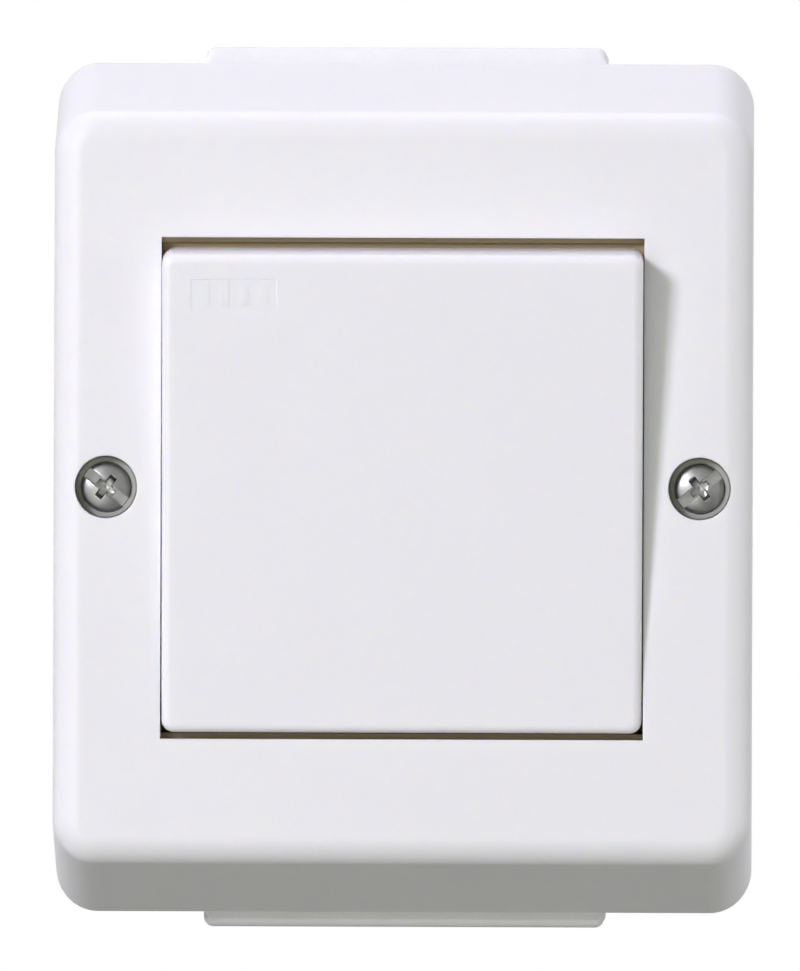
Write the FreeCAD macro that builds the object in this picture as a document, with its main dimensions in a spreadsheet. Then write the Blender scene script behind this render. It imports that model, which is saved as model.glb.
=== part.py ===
import FreeCAD, Part
import os
import re

import Sketcher
from FreeCAD import Placement, Rotation, Vector

# An outdoor rocker switch for surface mounting, in millimetres.
# The origin is on the wall, at the middle of the box's back. +Z is up, +X is to the right of someone
# who faces the switch, and -Y points at them. A level is a distance from the wall, along -Y.

doc = FreeCAD.newDocument("weatherproof_switch")
sizes = doc.addObject("Spreadsheet::Sheet", "sizes")

SIZES = {
    # Cover
    "cover_depth": 17.0,
    "cover_side": 5.35,
    "cover_lean": 5.7,
    "cover_wall": 2.4,
    "cover_corner": 4.3,
    "cover_edge": 2.9,
    "collar_wall": 1.4,
    # Rear box
    "base_depth": 28.0,
    "base_inset": 0.4,
    "base_wall": 2.6,
    "base_floor": 2.5,
    "wiring_space": 10.3,
    "wall_hole_inset_across": 9.1,
    "wall_hole_inset_up": 9.6,
    "wall_hole_radius": 2.25,
    "wall_boss_radius": 4.5,
    "wall_boss_height": 3.0,
    "knockout_radius": 10.0,
    "knockout_groove": 1.0,
    "knockout_web": 0.8,
    # Gasket between box and cover
    "gasket_margin": 0.7,
    "gasket_width": 1.1,
    "gasket_height": 1.0,
    # Cable entries
    "entry_width": 41.0,
    "entry_reach": 1.7,
    "entry_set_back": 0.7,
    "entry_back": 4.7,
    "entry_corner": 1.1,
    "entry_edge": 0.8,
    "entry_neck_inset_across": 2.5,
    "entry_neck_inset_depth": 2.3,
    "entry_neck_corner": 3.0,
    "entry_lip": 1.2,
    "entry_lip_reach": 1.0,
    "membrane_web": 2.5,
    "membrane_side": 1.75,
    "membrane_margin": 1.5,
    "membrane_sheet": 1.2,
    "membrane_groove": 0.5,
    # Cover screws, their washers and brass inserts
    "cover_screw_turn": 37.0,
    "screw_well_radius": 3.175,
    "screw_head_depth": 2.3,
    "screw_head_radius": 2.75,
    "screw_head_crown": 1.9,
    "screw_head_height": 2.0,
    "screw_head_side": 0.9,
    "screw_shank_radius": 1.45,
    "cover_screw_length": 20.0,
    "slot_width": 1.1,
    "slot_depth": 0.7,
    "cross_width": 1.05,
    "cross_span": 3.6,
    "cross_depth": 1.3,
    "cross_taper": 12.0,
    "screw_hole_radius": 1.7,
    "screw_tube_radius": 4.0,
    "screw_tube_gap": 0.2,
    "washer_sheet": 0.8,
    "washer_radius": 2.9,
    "post_radius": 3.7,
    "insert_radius": 2.3,
    "insert_length": 8.0,
    "insert_sunk": 0.4,
    "insert_waist": 0.35,
    # Support frame and what holds it
    "frame_rise": 4.5,
    "frame_sheet": 1.2,
    "frame_end": 4.0,
    "frame_side_gap": 0.25,
    "frame_corner": 3.0,
    "frame_opening_side": 1.9,
    "frame_opening_end": 0.3,
    "frame_head_gap": 0.55,
    "frame_post_radius": 3.4,
    "frame_screw_head_radius": 2.5,
    "frame_screw_length": 11.0,
    "rivet_radius": 1.0,
    "rivet_head_radius": 1.7,
    "rivet_inset_across": 3.5,
    "rivet_inset_up": 2.0,
    # Diaphragm under the rocker
    "diaphragm_flange": 1.5,
    "diaphragm_wall": 1.0,
    "diaphragm_corner": 1.2,
    "diaphragm_side_gap": 2.25,
    "diaphragm_rise": 3.3,
    "diaphragm_lip_level": 1.7,
    "diaphragm_lip_gap": 0.8,
    # Rocker
    "pivot_depth": 3.1,
    "rest_tilt": 6.0,
    "rocker_width": 48.7,
    "rocker_reach": 6.0,
    "rocker_skirt_gap": 1.15,
    "rocker_side_gap": 0.2,
    "rocker_end_gap": 1.2,
    "rocker_plate": 2.0,
    "rocker_wall": 1.6,
    "rocker_corner": 1.1,
    "rocker_edge": 0.9,
    "rocker_rib": 1.2,
    "rocker_rib_height": 1.2,
    "rocker_rib_pitch": 28.0,
    "peg_radius": 1.9,
    "peg_length": 3.2,
    "peg_pitch": 14.0,
    "mark_width": 8.8,
    "mark_height": 3.3,
    "mark_depth": 0.15,
    "mark_inset_across": 7.35,
    "mark_inset_up": 4.15,
    "mark_bar_width": 0.9,
    "mark_bar_height": 1.9,
    # Cradle, plunger and spring
    "cradle_height": 10.0,
    "cradle_back": 1.6,
    "cradle_side_gap": 0.3,
    "trunnion_radius": 1.5,
    "stem_radius": 2.6,
    "stem_web": 1.2,
    "plunger_nose": 1.9,
    "plunger_length": 5.5,
    "plunger_radius": 1.45,
    "spring_wire": 0.36,
    "spring_turns": 5.0,
    # Mechanism housing
    "housing_width": 40.0,
    "housing_height": 44.0,
    "housing_depth": 20.5,
    "housing_corner": 2.0,
    "housing_side_wall": 2.0,
    "housing_end_wall": 4.0,
    "housing_roof": 2.0,
    "housing_floor": 2.0,
    "lug_gap": 23.0,
    "lug_thickness": 2.6,
    "lug_radius": 2.6,
    # Contacts
    "contact_drop": 6.3,
    "contact_sheet": 1.0,
    "contact_gap": 0.156,
    "fulcrum_base": 2.4,
    "blade_width": 5.0,
    "blade_sheet": 0.8,
    "blade_waist": 8.0,
    "tip_radius": 1.5,
    "tip_height": 0.6,
    "strip_gap": 0.2,
    "contact_strip": 3.2,
    "contact_half_width": 2.5,
    # Screw clamps
    "clamp_side_gap": 3.5,
    "clamp_end_gap": 1.0,
    "clamp_width": 7.0,
    "clamp_length": 4.8,
    "clamp_wall": 1.2,
    "clamp_bay": 6.0,
    "clamp_above_strip": 2.4,
    "clamp_screw_head_radius": 2.3,
    "clamp_screw_head_height": 1.9,
    "driver_hole_radius": 2.6,
    "driver_hole_margin": 0.5,
    "wire_hole_radius": 1.3,
    # Earth clamp
    "earth_across": 12.0,
    "earth_end_gap": 4.0,
    "earth_width": 8.0,
    "earth_height": 6.0,
    "earth_depth": 7.0,
    "earth_boss": 3.5,
    "earth_wire_radius": 1.7,
    # Clearances
    "thread_gap": 0.05,
    "running_gap": 0.05,
    "seat_gap": 0.1,
    "plunger_gap": 0.1,
    "swing_gap": 0.4,
}

# Sizes and levels that follow from the driving ones.
FORMULAS = {
    "face_level": "base_depth + cover_depth",
    "window_width": "rocker_width + 2 * rocker_side_gap",
    "window_height": "rocker_width + 2 * rocker_end_gap",
    "collar_width": "window_width + 2 * collar_wall",
    "collar_height": "window_height + 2 * collar_wall",
    "screw_shift": "collar_width / 2 + screw_tube_gap + screw_tube_radius",
    "frame_screw_shift": "collar_height / 2 + frame_head_gap + frame_screw_head_radius",
    "base_width": "cover_width - 2 * base_inset",
    "base_height": "2 * (frame_screw_shift + wiring_space + base_wall)",
    "cover_width": "2 * (screw_shift + cover_side)",
    "cover_height": "base_height + 2 * base_inset",
    "base_corner": "cover_corner - base_inset",
    "frame_level": "base_depth + frame_rise",
    "flange_level": "frame_level + frame_sheet",
    "collar_level": "flange_level + diaphragm_flange",
    "frame_width": "2 * (screw_shift - screw_tube_radius - frame_side_gap)",
    "frame_height": "2 * (frame_screw_shift + frame_end)",
    "frame_opening_width": "2 * (max(lug_outside; clamp_across + driver_hole_radius "
    "+ driver_hole_margin) + frame_opening_side)",
    "frame_opening_height": "2 * (clamp_up + driver_hole_radius + frame_opening_end)",
    "pivot_level": "face_level - pivot_depth",
    "head_top_level": "face_level - screw_head_depth",
    "head_seat_level": "head_top_level - screw_head_height",
    "washer_level": "head_seat_level - washer_sheet",
    "well_depth": "face_level - washer_level",
    "entry_front": "base_depth - entry_set_back",
    "entry_middle": "(entry_front + entry_back) / 2",
    "entry_top": "cover_height / 2 + entry_reach",
    "entry_inside": "base_height / 2 - base_wall - entry_lip",
    "entry_neck_width": "entry_width - 2 * entry_neck_inset_across",
    "entry_neck_depth": "entry_front - entry_back - 2 * entry_neck_inset_depth",
    "membrane_radius": "min((entry_neck_width / 2 - membrane_web / 2 - membrane_side) / 2; "
    "entry_neck_depth / 2 - membrane_margin)",
    "membrane_shift": "membrane_web / 2 + membrane_radius",
    "housing_back": "frame_level - housing_depth",
    "chamber_floor": "housing_back + housing_floor",
    "chamber_roof": "frame_level - housing_roof",
    "strip_level": "chamber_roof - contact_drop",
    "strip_top": "strip_level + contact_sheet",
    "tip_offset": "clamp_up - clamp_length / 2 - strip_gap - contact_strip / 2",
    "blade_half_length": "tip_offset + tip_radius",
    "fulcrum_height": "2 * tip_height + blade_half_length * sin(rest_tilt) + contact_gap "
    "- running_gap",
    "blade_level": "strip_top + fulcrum_height + running_gap",
    "tip_level": "blade_level + blade_sheet + plunger_gap",
    "nose_reach": "pivot_level - tip_level",
    "stem_reach": "nose_reach - plunger_nose",
    "bore_top": "cradle_back - seat_gap",
    "spring_length": "nose_reach - plunger_length - bore_top",
    "rocker_skirt": "rocker_reach + pivot_level - collar_level - rocker_skirt_gap "
    "- rocker_width / 2 * sin(rest_tilt)",
    "rocker_back": "rocker_reach - rocker_skirt",
    "rocker_under": "rocker_reach - rocker_plate",
    "cradle_top": "rocker_under - seat_gap",
    "cradle_width": "lug_gap - 2 * cradle_side_gap",
    "stem_swing": "(pivot_level - chamber_roof) * sin(rest_tilt)",
    "lug_outside": "lug_gap / 2 + lug_thickness",
    "lip_width": "2 * (lug_outside + diaphragm_lip_gap)",
    "lip_height": "cradle_height + 2 * (rocker_under * sin(rest_tilt) + diaphragm_lip_gap)",
    "lip_level": "pivot_level + diaphragm_lip_level",
    "diaphragm_width": "rocker_width - 2 * (rocker_wall + diaphragm_side_gap)",
    "shoulder_level": "collar_level + diaphragm_rise",
    "clamp_across": "housing_width / 2 - housing_side_wall - clamp_side_gap - clamp_width / 2",
    "clamp_up": "housing_height / 2 - housing_end_wall - clamp_end_gap - clamp_length / 2",
    "clamp_top": "strip_top + clamp_above_strip + clamp_wall",
    "clamp_back": "clamp_top - clamp_bay - 2 * clamp_wall",
    "clamp_head_level": "clamp_top + seat_gap",
    "wire_level": "(strip_level + clamp_back + clamp_wall) / 2",
    "earth_level": "base_floor + earth_boss",
    "earth_top": "earth_level + earth_depth",
    "earth_up": "base_height / 2 - base_wall - earth_end_gap - earth_height / 2",
    "earth_wire_level": "earth_level + earth_depth / 2",
}

for row, (alias, number) in enumerate(SIZES.items(), 1):
    sizes.set(f"A{row}", alias)
    sizes.set(f"B{row}", str(number))
    sizes.setAlias(f"B{row}", alias)
doc.recompute()

# Each plane of a sketch, with the direction in which its level counts.
WALL = "XZ_Plane"
SIDE = "YZ_Plane"
TOP = "XY_Plane"

CLOSE = 1e-4
RIGHT_ANGLE = 1.5707963267948966
ORIGIN = (-1, 1)
ALL = "2 * (cover_height + face_level)"


def formula(text):
    """Writes named sizes out as cells of the sheet."""

    def written_out(match):
        word = match.group()
        if word in FORMULAS:
            return f"({formula(FORMULAS[word])})"
        return f"sizes.{word}" if word in SIZES else word

    return re.sub(r"[a-z_]+", written_out, text)


def value(text):
    return float(sizes.evalExpression(formula(text)))


def bind(item, prop, text):
    item.setExpression(prop, formula(text))


# Sketches


def origin_plane(body, role):
    return next(item for item in body.Origin.OriginFeatures if item.Role == role)


def sketch(body, plane, level="0"):
    profile = body.newObject("Sketcher::SketchObject", f"{body.Name}_sketch")
    profile.AttachmentSupport = [(origin_plane(body, plane), "")]
    profile.MapMode = "FlatFace"
    bind(profile, "AttachmentOffset.Base.z", level)
    return profile


def dimension(profile, kind, *where, size):
    index = profile.addConstraint(Sketcher.Constraint(kind, *where, value(size)))
    bind(profile, f"Constraints[{index}]", size)


def circle(profile, radius, across="0", up="0"):
    centre = Vector(value(across), value(up), 0)
    ring = profile.addGeometry(Part.Circle(centre, Vector(0, 0, 1), value(radius)))
    dimension(profile, "Radius", ring, size=radius)
    dimension(profile, "DistanceX", *ORIGIN, ring, 3, size=across)
    dimension(profile, "DistanceY", *ORIGIN, ring, 3, size=up)


def polygon(profile, corners):
    """A closed outline of straight lines through corners, each a pair of expressions."""
    points = [Vector(value(across), value(up), 0) for across, up in corners]
    lines = [
        profile.addGeometry(Part.LineSegment(point, points[(i + 1) % len(points)]))
        for i, point in enumerate(points)
    ]
    for i, line in enumerate(lines):
        profile.addConstraint(Sketcher.Constraint("Coincident", lines[i - 1], 2, line, 1))
    for line, (across, up) in zip(lines, corners):
        dimension(profile, "DistanceX", *ORIGIN, line, 1, size=across)
        dimension(profile, "DistanceY", *ORIGIN, line, 1, size=up)


def rectangle(profile, width, height, across="0", up="0"):
    left, right = (f"{across} {side} ({width}) / 2" for side in "-+")
    low, high = (f"{up} {side} ({height}) / 2" for side in "-+")
    polygon(profile, [(left, low), (right, low), (right, high), (left, high)])


def bevelled(profile, width, height, cut):
    """A rectangle about the origin with its corners cut off at 45 degrees."""
    right, top = f"({width}) / 2", f"({height}) / 2"
    polygon(
        profile,
        [
            (f"{cut} - {right}", f"-{top}"),
            (f"{right} - {cut}", f"-{top}"),
            (right, f"{cut} - {top}"),
            (right, f"{top} - {cut}"),
            (f"{right} - {cut}", top),
            (f"{cut} - {right}", top),
            (f"-{right}", f"{top} - {cut}"),
            (f"-{right}", f"{cut} - {top}"),
        ],
    )


def rounded(profile, width, height, corner, across="0", up="0"):
    """A rectangle with four equal rounded corners, about a middle point."""
    x, y = value(across), value(up)
    half_width, half_height, radius = value(width) / 2, value(height) / 2, value(corner)
    flat_x, flat_y = half_width - radius, half_height - radius
    sides = []
    for start, end in (
        ((-flat_x, -half_height), (flat_x, -half_height)),
        ((half_width, -flat_y), (half_width, flat_y)),
        ((flat_x, half_height), (-flat_x, half_height)),
        ((-half_width, flat_y), (-half_width, -flat_y)),
    ):
        line = Part.LineSegment(
            Vector(x + start[0], y + start[1], 0), Vector(x + end[0], y + end[1], 0)
        )
        sides.append(profile.addGeometry(line))
    bends = []
    for turn, (side_x, side_y) in enumerate(((1, -1), (1, 1), (-1, 1), (-1, -1))):
        centre = Vector(x + side_x * flat_x, y + side_y * flat_y, 0)
        ring = Part.Circle(centre, Vector(0, 0, 1), radius)
        first = (turn - 1) * RIGHT_ANGLE
        bends.append(profile.addGeometry(Part.ArcOfCircle(ring, first, first + RIGHT_ANGLE)))
    for i, (side, bend) in enumerate(zip(sides, bends)):
        following = sides[(i + 1) % len(sides)]
        profile.addConstraint(Sketcher.Constraint("Tangent", side, 2, bend, 1))
        profile.addConstraint(Sketcher.Constraint("Tangent", bend, 2, following, 1))
        profile.addConstraint(Sketcher.Constraint("Vertical" if i % 2 else "Horizontal", side))
    for bend in bends[1:]:
        profile.addConstraint(Sketcher.Constraint("Equal", bends[0], bend))
    dimension(profile, "Radius", bends[0], size=corner)
    dimension(profile, "DistanceY", *ORIGIN, sides[0], 1, size=f"{up} - ({height}) / 2")
    dimension(profile, "DistanceX", *ORIGIN, sides[1], 1, size=f"{across} + ({width}) / 2")
    dimension(profile, "DistanceY", *ORIGIN, sides[2], 1, size=f"{up} + ({height}) / 2")
    dimension(profile, "DistanceX", *ORIGIN, sides[3], 1, size=f"{across} - ({width}) / 2")


# Features


def extrude(kind, body, profile, length, symmetric, reverse):
    feature = body.newObject(kind, f"{body.Name}_{kind.split('::')[1].lower()}")
    feature.Profile = profile
    feature.SideType = "Symmetric" if symmetric else "One side"
    feature.Reversed = reverse
    bind(feature, "Length", length)
    return feature


def pad(body, profile, length, symmetric=False, reverse=False):
    return extrude("PartDesign::Pad", body, profile, length, symmetric, reverse)


def pocket(body, profile, length, symmetric=False, reverse=False):
    return extrude("PartDesign::Pocket", body, profile, length, symmetric, reverse)


def revolve(body, profile):
    """Turns a profile drawn on the side plane about the axis that points at the viewer."""
    feature = body.newObject("PartDesign::Revolution", f"{body.Name}_revolution")
    feature.Profile = profile
    feature.ReferenceAxis = (profile, ["H_Axis"])
    feature.Angle = 360
    return feature


def repeat_mirrored(body, features, plane):
    twin = body.newObject("PartDesign::Mirrored", f"{body.Name}_mirrored")
    twin.Originals = features
    twin.MirrorPlane = (origin_plane(body, plane), [""])
    body.Tip = twin


def fillet(body, radius, chosen):
    """Rounds the edges for which chosen says yes."""
    doc.recompute()
    base = body.Tip
    names = [f"Edge{i}" for i, edge in enumerate(base.Shape.Edges, 1) if chosen(edge)]
    feature = body.newObject("PartDesign::Fillet", f"{body.Name}_fillet")
    feature.Base = (base, names)
    bind(feature, "Radius", radius)


def chamfer(body, size, chosen):
    doc.recompute()
    base = body.Tip
    names = [f"Edge{i}" for i, edge in enumerate(base.Shape.Edges, 1) if chosen(edge)]
    feature = body.newObject("PartDesign::Chamfer", f"{body.Name}_chamfer")
    feature.Base = (base, names)
    bind(feature, "Size", size)


def at_level(level):
    """Chooses the edges that lie at one level."""
    return lambda edge: all(abs(-v.Y - value(level)) < CLOSE for v in edge.Vertexes)


def towards_viewer(half_width, lowest):
    """Chooses the edges that run front to back at both sides, above and below a height."""

    def chosen(edge):
        ends = edge.Vertexes
        return (
            len(ends) == 2
            and abs(ends[0].Y - ends[1].Y) > 1
            and all(abs(abs(v.X) - value(half_width)) < CLOSE for v in ends)
            and all(abs(v.Z) > value(lowest) for v in ends)
        )

    return chosen


def place(body, across="0", level="0", up="0", axis=Vector(1, 0, 0), angle="0"):
    body.Placement = Placement(Vector(), Rotation(axis, value(angle)))
    bind(body, "Placement.Base.x", across)
    bind(body, "Placement.Base.y", f"-({level})")
    bind(body, "Placement.Base.z", up)
    bind(body, "Placement.Rotation.Angle", angle)


def new_body(label):
    return doc.addObject("PartDesign::Body", label)


def mirror_copy(source, label, normal):
    twin = doc.addObject("Part::Mirroring", label)
    twin.Source = source
    twin.Normal = normal
    return twin


def group(label, members):
    """Several equal pieces that share one name."""
    together = doc.addObject("Part::Compound", label)
    together.Links = members
    return together


ACROSS = Vector(1, 0, 0)
UP = Vector(0, 0, 1)
TO_VIEWER = Vector(0, -1, 0)


# Rear box


def make_base_box():
    box = new_body("base_box")
    outline = sketch(box, WALL)
    rounded(outline, "base_width", "base_height", "base_corner")
    pad(box, outline, "base_depth")

    hollow = sketch(box, WALL, "base_depth")
    inner_corner = "max(base_corner - base_wall; base_wall / 4)"
    rounded(hollow, "base_width - 2 * base_wall", "base_height - 2 * base_wall", inner_corner)
    pocket(box, hollow, "base_depth - base_floor")

    entry = sketch(box, TOP, "base_height / 2")
    rounded(
        entry,
        "entry_neck_width",
        "entry_neck_depth",
        "entry_neck_corner",
        up="-entry_middle",
    )
    repeat_mirrored(box, [pocket(box, entry, "base_wall + entry_lip / 2")], TOP)

    add_base_posts(box)
    cut_base_holes(box)
    return box


def add_base_posts(box):
    posts = sketch(box, WALL)
    circle(posts, "post_radius", across="screw_shift")
    circle(posts, "post_radius", across="-screw_shift")
    pad(box, posts, "base_depth")

    frame_posts = sketch(box, WALL)
    circle(frame_posts, "frame_post_radius", up="frame_screw_shift")
    circle(frame_posts, "frame_post_radius", up="-frame_screw_shift")
    pad(box, frame_posts, "frame_level")

    bosses = sketch(box, WALL)
    for across, up in wall_hole_places():
        circle(bosses, "wall_boss_radius", across=across, up=up)
    pad(box, bosses, "base_floor + wall_boss_height")

    earth_boss = sketch(box, WALL)
    rectangle(earth_boss, "earth_width", "earth_height", across="earth_across", up="-earth_up")
    pad(box, earth_boss, "earth_level")


def wall_hole_places():
    return [
        (
            f"{left}(base_width / 2 - wall_hole_inset_across)",
            f"{down}(base_height / 2 - wall_hole_inset_up)",
        )
        for left in ("", "-")
        for down in ("", "-")
    ]


def cut_base_holes(box):
    groove = sketch(box, WALL, "base_depth")
    for margin in ("gasket_margin", "gasket_margin + gasket_width + seat_gap"):
        rounded(
            groove,
            f"base_width - 2 * ({margin})",
            f"base_height - 2 * ({margin})",
            f"max(base_corner - ({margin}); base_wall / 4)",
        )
    pocket(box, groove, "gasket_height")

    insert_holes = sketch(box, WALL, "base_depth")
    pilot_holes = sketch(box, WALL, "base_depth")
    for side in ("", "-"):
        circle(insert_holes, "insert_radius + thread_gap", across=f"{side}screw_shift")
        circle(pilot_holes, "screw_hole_radius", across=f"{side}screw_shift")
    pocket(box, insert_holes, "insert_sunk + insert_length")
    pocket(box, pilot_holes, "base_depth - washer_level + cover_screw_length + insert_sunk")

    frame_holes = sketch(box, WALL, "frame_level")
    for side in ("", "-"):
        circle(frame_holes, "screw_shank_radius + thread_gap", up=f"{side}frame_screw_shift")
    pocket(box, frame_holes, "frame_screw_length")

    wall_holes = sketch(box, WALL, "base_floor + wall_boss_height")
    for across, up in wall_hole_places():
        circle(wall_holes, "wall_hole_radius", across=across, up=up)
    pocket(box, wall_holes, "base_floor + wall_boss_height")

    knockout = sketch(box, WALL, "base_floor")
    circle(knockout, "knockout_radius")
    circle(knockout, "knockout_radius - knockout_groove")
    pocket(box, knockout, "base_floor - knockout_web")


def make_base_seal():
    seal = new_body("base_seal")
    ring = sketch(seal, WALL, "base_depth - gasket_height")
    half_gap = "seat_gap / 2"
    for margin in (
        f"gasket_margin + {half_gap}",
        f"gasket_margin + gasket_width + {half_gap}",
    ):
        rounded(
            ring,
            f"base_width - 2 * ({margin})",
            f"base_height - 2 * ({margin})",
            f"max(base_corner - ({margin}); base_wall / 4)",
        )
    pad(seal, ring, "gasket_height")
    return seal


def make_cable_entry():
    entry = new_body("cable_entry_top")
    lip = sketch(entry, TOP, "entry_inside")
    rounded(
        lip,
        "entry_neck_width + 2 * entry_lip_reach",
        "entry_neck_depth + 2 * entry_lip_reach",
        "entry_neck_corner + entry_lip_reach",
        up="-entry_middle",
    )
    pad(entry, lip, "entry_lip")

    neck = sketch(entry, TOP, "entry_inside")
    rounded(
        neck,
        "entry_neck_width - 2 * seat_gap",
        "entry_neck_depth - 2 * seat_gap",
        "entry_neck_corner - seat_gap",
        up="-entry_middle",
    )
    pad(entry, neck, "entry_top - entry_inside")

    flange = sketch(entry, TOP, "base_height / 2")
    rectangle(flange, "entry_width", "entry_front - entry_back", up="-entry_middle")
    pad(entry, flange, "entry_top - base_height / 2")
    fillet(entry, "entry_corner", towards_viewer("entry_width / 2", "entry_top - entry_edge"))
    fillet(entry, "entry_edge", front_outer_edge("entry_front", "entry_top"))

    for across in ("membrane_shift", "-membrane_shift"):
        cup = sketch(entry, TOP, "entry_inside")
        circle(cup, "membrane_radius", across=across, up="-entry_middle")
        pocket(entry, cup, "entry_top - entry_inside - membrane_sheet", reverse=True)
        rings = sketch(entry, TOP, "entry_top")
        for radius in ("membrane_radius * 2 / 3", "membrane_radius * 2 / 3 - membrane_groove"):
            circle(rings, radius, across=across, up="-entry_middle")
        pocket(entry, rings, "membrane_groove")
    return entry


def front_outer_edge(level, height):
    """Chooses the edges along the front of a flange's outer face."""

    def chosen(edge):
        return all(
            abs(-v.Y - value(level)) < CLOSE and v.Z > value(f"{height} - entry_corner") - CLOSE
            for v in edge.Vertexes
        )

    return chosen


# Cover


def make_cover():
    cover = new_body("cover")
    side_view = sketch(cover, SIDE)
    polygon(side_view, cover_outline("0"))
    pad(cover, side_view, "cover_width", symmetric=True)
    fillet(cover, "cover_corner", towards_viewer("cover_width / 2", "0"))
    fillet(cover, "cover_edge", at_level("face_level"))

    hollow = sketch(cover, SIDE)
    polygon(hollow, cover_outline("cover_wall"))
    pocket(cover, hollow, "cover_width - 2 * cover_wall", symmetric=True)
    inner_corner = "max(cover_corner - cover_wall; cover_wall / 4)"
    fillet(cover, inner_corner, towards_viewer("cover_width / 2 - cover_wall", "0"))

    collar = sketch(cover, WALL, "collar_level")
    rectangle(collar, "collar_width", "collar_height")
    pad(cover, collar, "face_level - collar_level - cover_wall / 2")

    tubes = sketch(cover, WALL, "base_depth")
    circle(tubes, "screw_tube_radius", across="screw_shift")
    circle(tubes, "screw_tube_radius", across="-screw_shift")
    pad(cover, tubes, "cover_depth - cover_wall / 2")

    window = sketch(cover, WALL, "face_level")
    rectangle(window, "window_width", "window_height")
    pocket(cover, window, "cover_depth")

    wells = sketch(cover, WALL, "face_level")
    holes = sketch(cover, WALL, "face_level")
    for side in ("", "-"):
        circle(wells, "screw_well_radius", across=f"{side}screw_shift")
        circle(holes, "screw_hole_radius", across=f"{side}screw_shift")
    pocket(cover, wells, "well_depth")
    pocket(cover, holes, "cover_depth")
    return cover


def cover_outline(wall):
    """The cover's outline from the side, moved in by a wall that is as thick on the sloping faces."""
    slope = f"(cover_height / 2 - {wall} * sqrt(cover_depth ^ 2 + cover_lean ^ 2) / cover_depth"
    rim = f"{slope})"
    front = f"{slope} - cover_lean * (cover_depth - {wall}) / cover_depth)"
    return [
        ("-base_depth", f"-{rim}"),
        ("-base_depth", rim),
        (f"-(face_level - {wall})", front),
        (f"-(face_level - {wall})", f"-{front}"),
    ]


# Cover screws


def make_cover_screws():
    screw = new_body("cover_screw_right")
    shape = sketch(screw, SIDE)
    polygon(
        shape,
        [
            ("cover_screw_length - washer_sheet", "0"),
            ("cover_screw_length - washer_sheet", "screw_shank_radius - slot_width / 2"),
            ("cover_screw_length - washer_sheet - slot_width", "screw_shank_radius"),
            ("0", "screw_shank_radius"),
            ("0", "screw_head_radius"),
            ("-screw_head_side", "screw_head_radius"),
            ("-screw_head_height", "screw_head_crown"),
            ("-screw_head_height", "0"),
        ],
    )
    revolve(screw, shape)
    fillet(screw, "(screw_head_height - screw_head_side) / 2", at_level("screw_head_side"))

    slot = sketch(screw, WALL, "screw_head_height")
    rectangle(slot, "2 * screw_head_radius", "slot_width")
    pocket(screw, slot, "slot_depth")
    cross = sketch(screw, WALL, "screw_head_height")
    rectangle(cross, "cross_width", "cross_span")
    taper(pocket(screw, cross, "cross_depth"))
    cross = sketch(screw, WALL, "screw_head_height")
    rectangle(cross, "cross_span", "cross_width")
    taper(pocket(screw, cross, "cross_depth"))

    place(
        screw,
        across="screw_shift",
        level="head_seat_level",
        axis=TO_VIEWER,
        angle="cover_screw_turn",
    )
    return group("cover_screws", [screw, mirror_copy(screw, "cover_screw_left", ACROSS)])


def taper(cut):
    bind(cut, "TaperAngle", "-cross_taper")


def ring_pair(name, radius, bore, level, length):
    """Two short tubes, one at each cover screw."""
    tube = new_body(f"{name}_right")
    ring = sketch(tube, WALL, level)
    circle(ring, radius, across="screw_shift")
    circle(ring, bore, across="screw_shift")
    pad(tube, ring, length)
    return tube


def make_cover_screw_seals():
    washer = ring_pair(
        "cover_screw_seal",
        "washer_radius",
        "screw_shank_radius + seat_gap",
        "washer_level",
        "washer_sheet",
    )
    twin = mirror_copy(washer, "cover_screw_seal_left", ACROSS)
    return group("cover_screw_seals", [washer, twin])


def make_thread_inserts():
    bottom = "base_depth - insert_sunk - insert_length"
    sleeve = ring_pair(
        "thread_insert",
        "insert_radius",
        "screw_shank_radius + thread_gap",
        bottom,
        "insert_length",
    )
    waist = sketch(sleeve, WALL, f"{bottom} + insert_length * 0.6")
    circle(waist, "insert_radius", across="screw_shift")
    circle(waist, "insert_radius - insert_waist", across="screw_shift")
    pocket(sleeve, waist, "insert_length * 0.2")
    twin = mirror_copy(sleeve, "thread_insert_left", ACROSS)
    return group("thread_inserts", [sleeve, twin])


# Support frame, its screws and rivets


def make_support_frame():
    frame = new_body("support_frame")
    outline = sketch(frame, WALL, "frame_level")
    rounded(outline, "frame_width", "frame_height", "frame_corner")
    rectangle(outline, "frame_opening_width", "frame_opening_height")
    for side in ("", "-"):
        circle(outline, "screw_hole_radius", up=f"{side}frame_screw_shift")
    pad(frame, outline, "frame_sheet")

    sinks = sketch(frame, WALL, "flange_level")
    for across, up in rivet_places():
        circle(sinks, "rivet_head_radius + thread_gap", across=across, up=up)
    pocket(frame, sinks, "frame_sheet / 2")
    holes = sketch(frame, WALL, "flange_level")
    for across, up in rivet_places():
        circle(holes, "rivet_radius + thread_gap", across=across, up=up)
    pocket(frame, holes, "frame_sheet")
    return frame


def rivet_places():
    return [
        (
            f"{left}(housing_width / 2 - rivet_inset_across)",
            f"{down}(housing_height / 2 - rivet_inset_up)",
        )
        for left in ("", "-")
        for down in ("", "-")
    ]


def make_frame_rivets():
    rivets = []
    for number, (across, up) in enumerate(rivet_places(), 1):
        rivet = new_body(f"frame_rivet_{number}")
        shank = sketch(rivet, WALL)
        circle(shank, "rivet_radius")
        pad(rivet, shank, "flange_level - housing_back")
        head = sketch(rivet, WALL, "flange_level - housing_back")
        circle(head, "rivet_head_radius")
        pad(rivet, head, "frame_sheet / 2 - thread_gap", reverse=True)
        place(rivet, across=across, level="housing_back", up=up)
        rivets.append(rivet)
    return group("frame_rivets", rivets)


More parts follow.
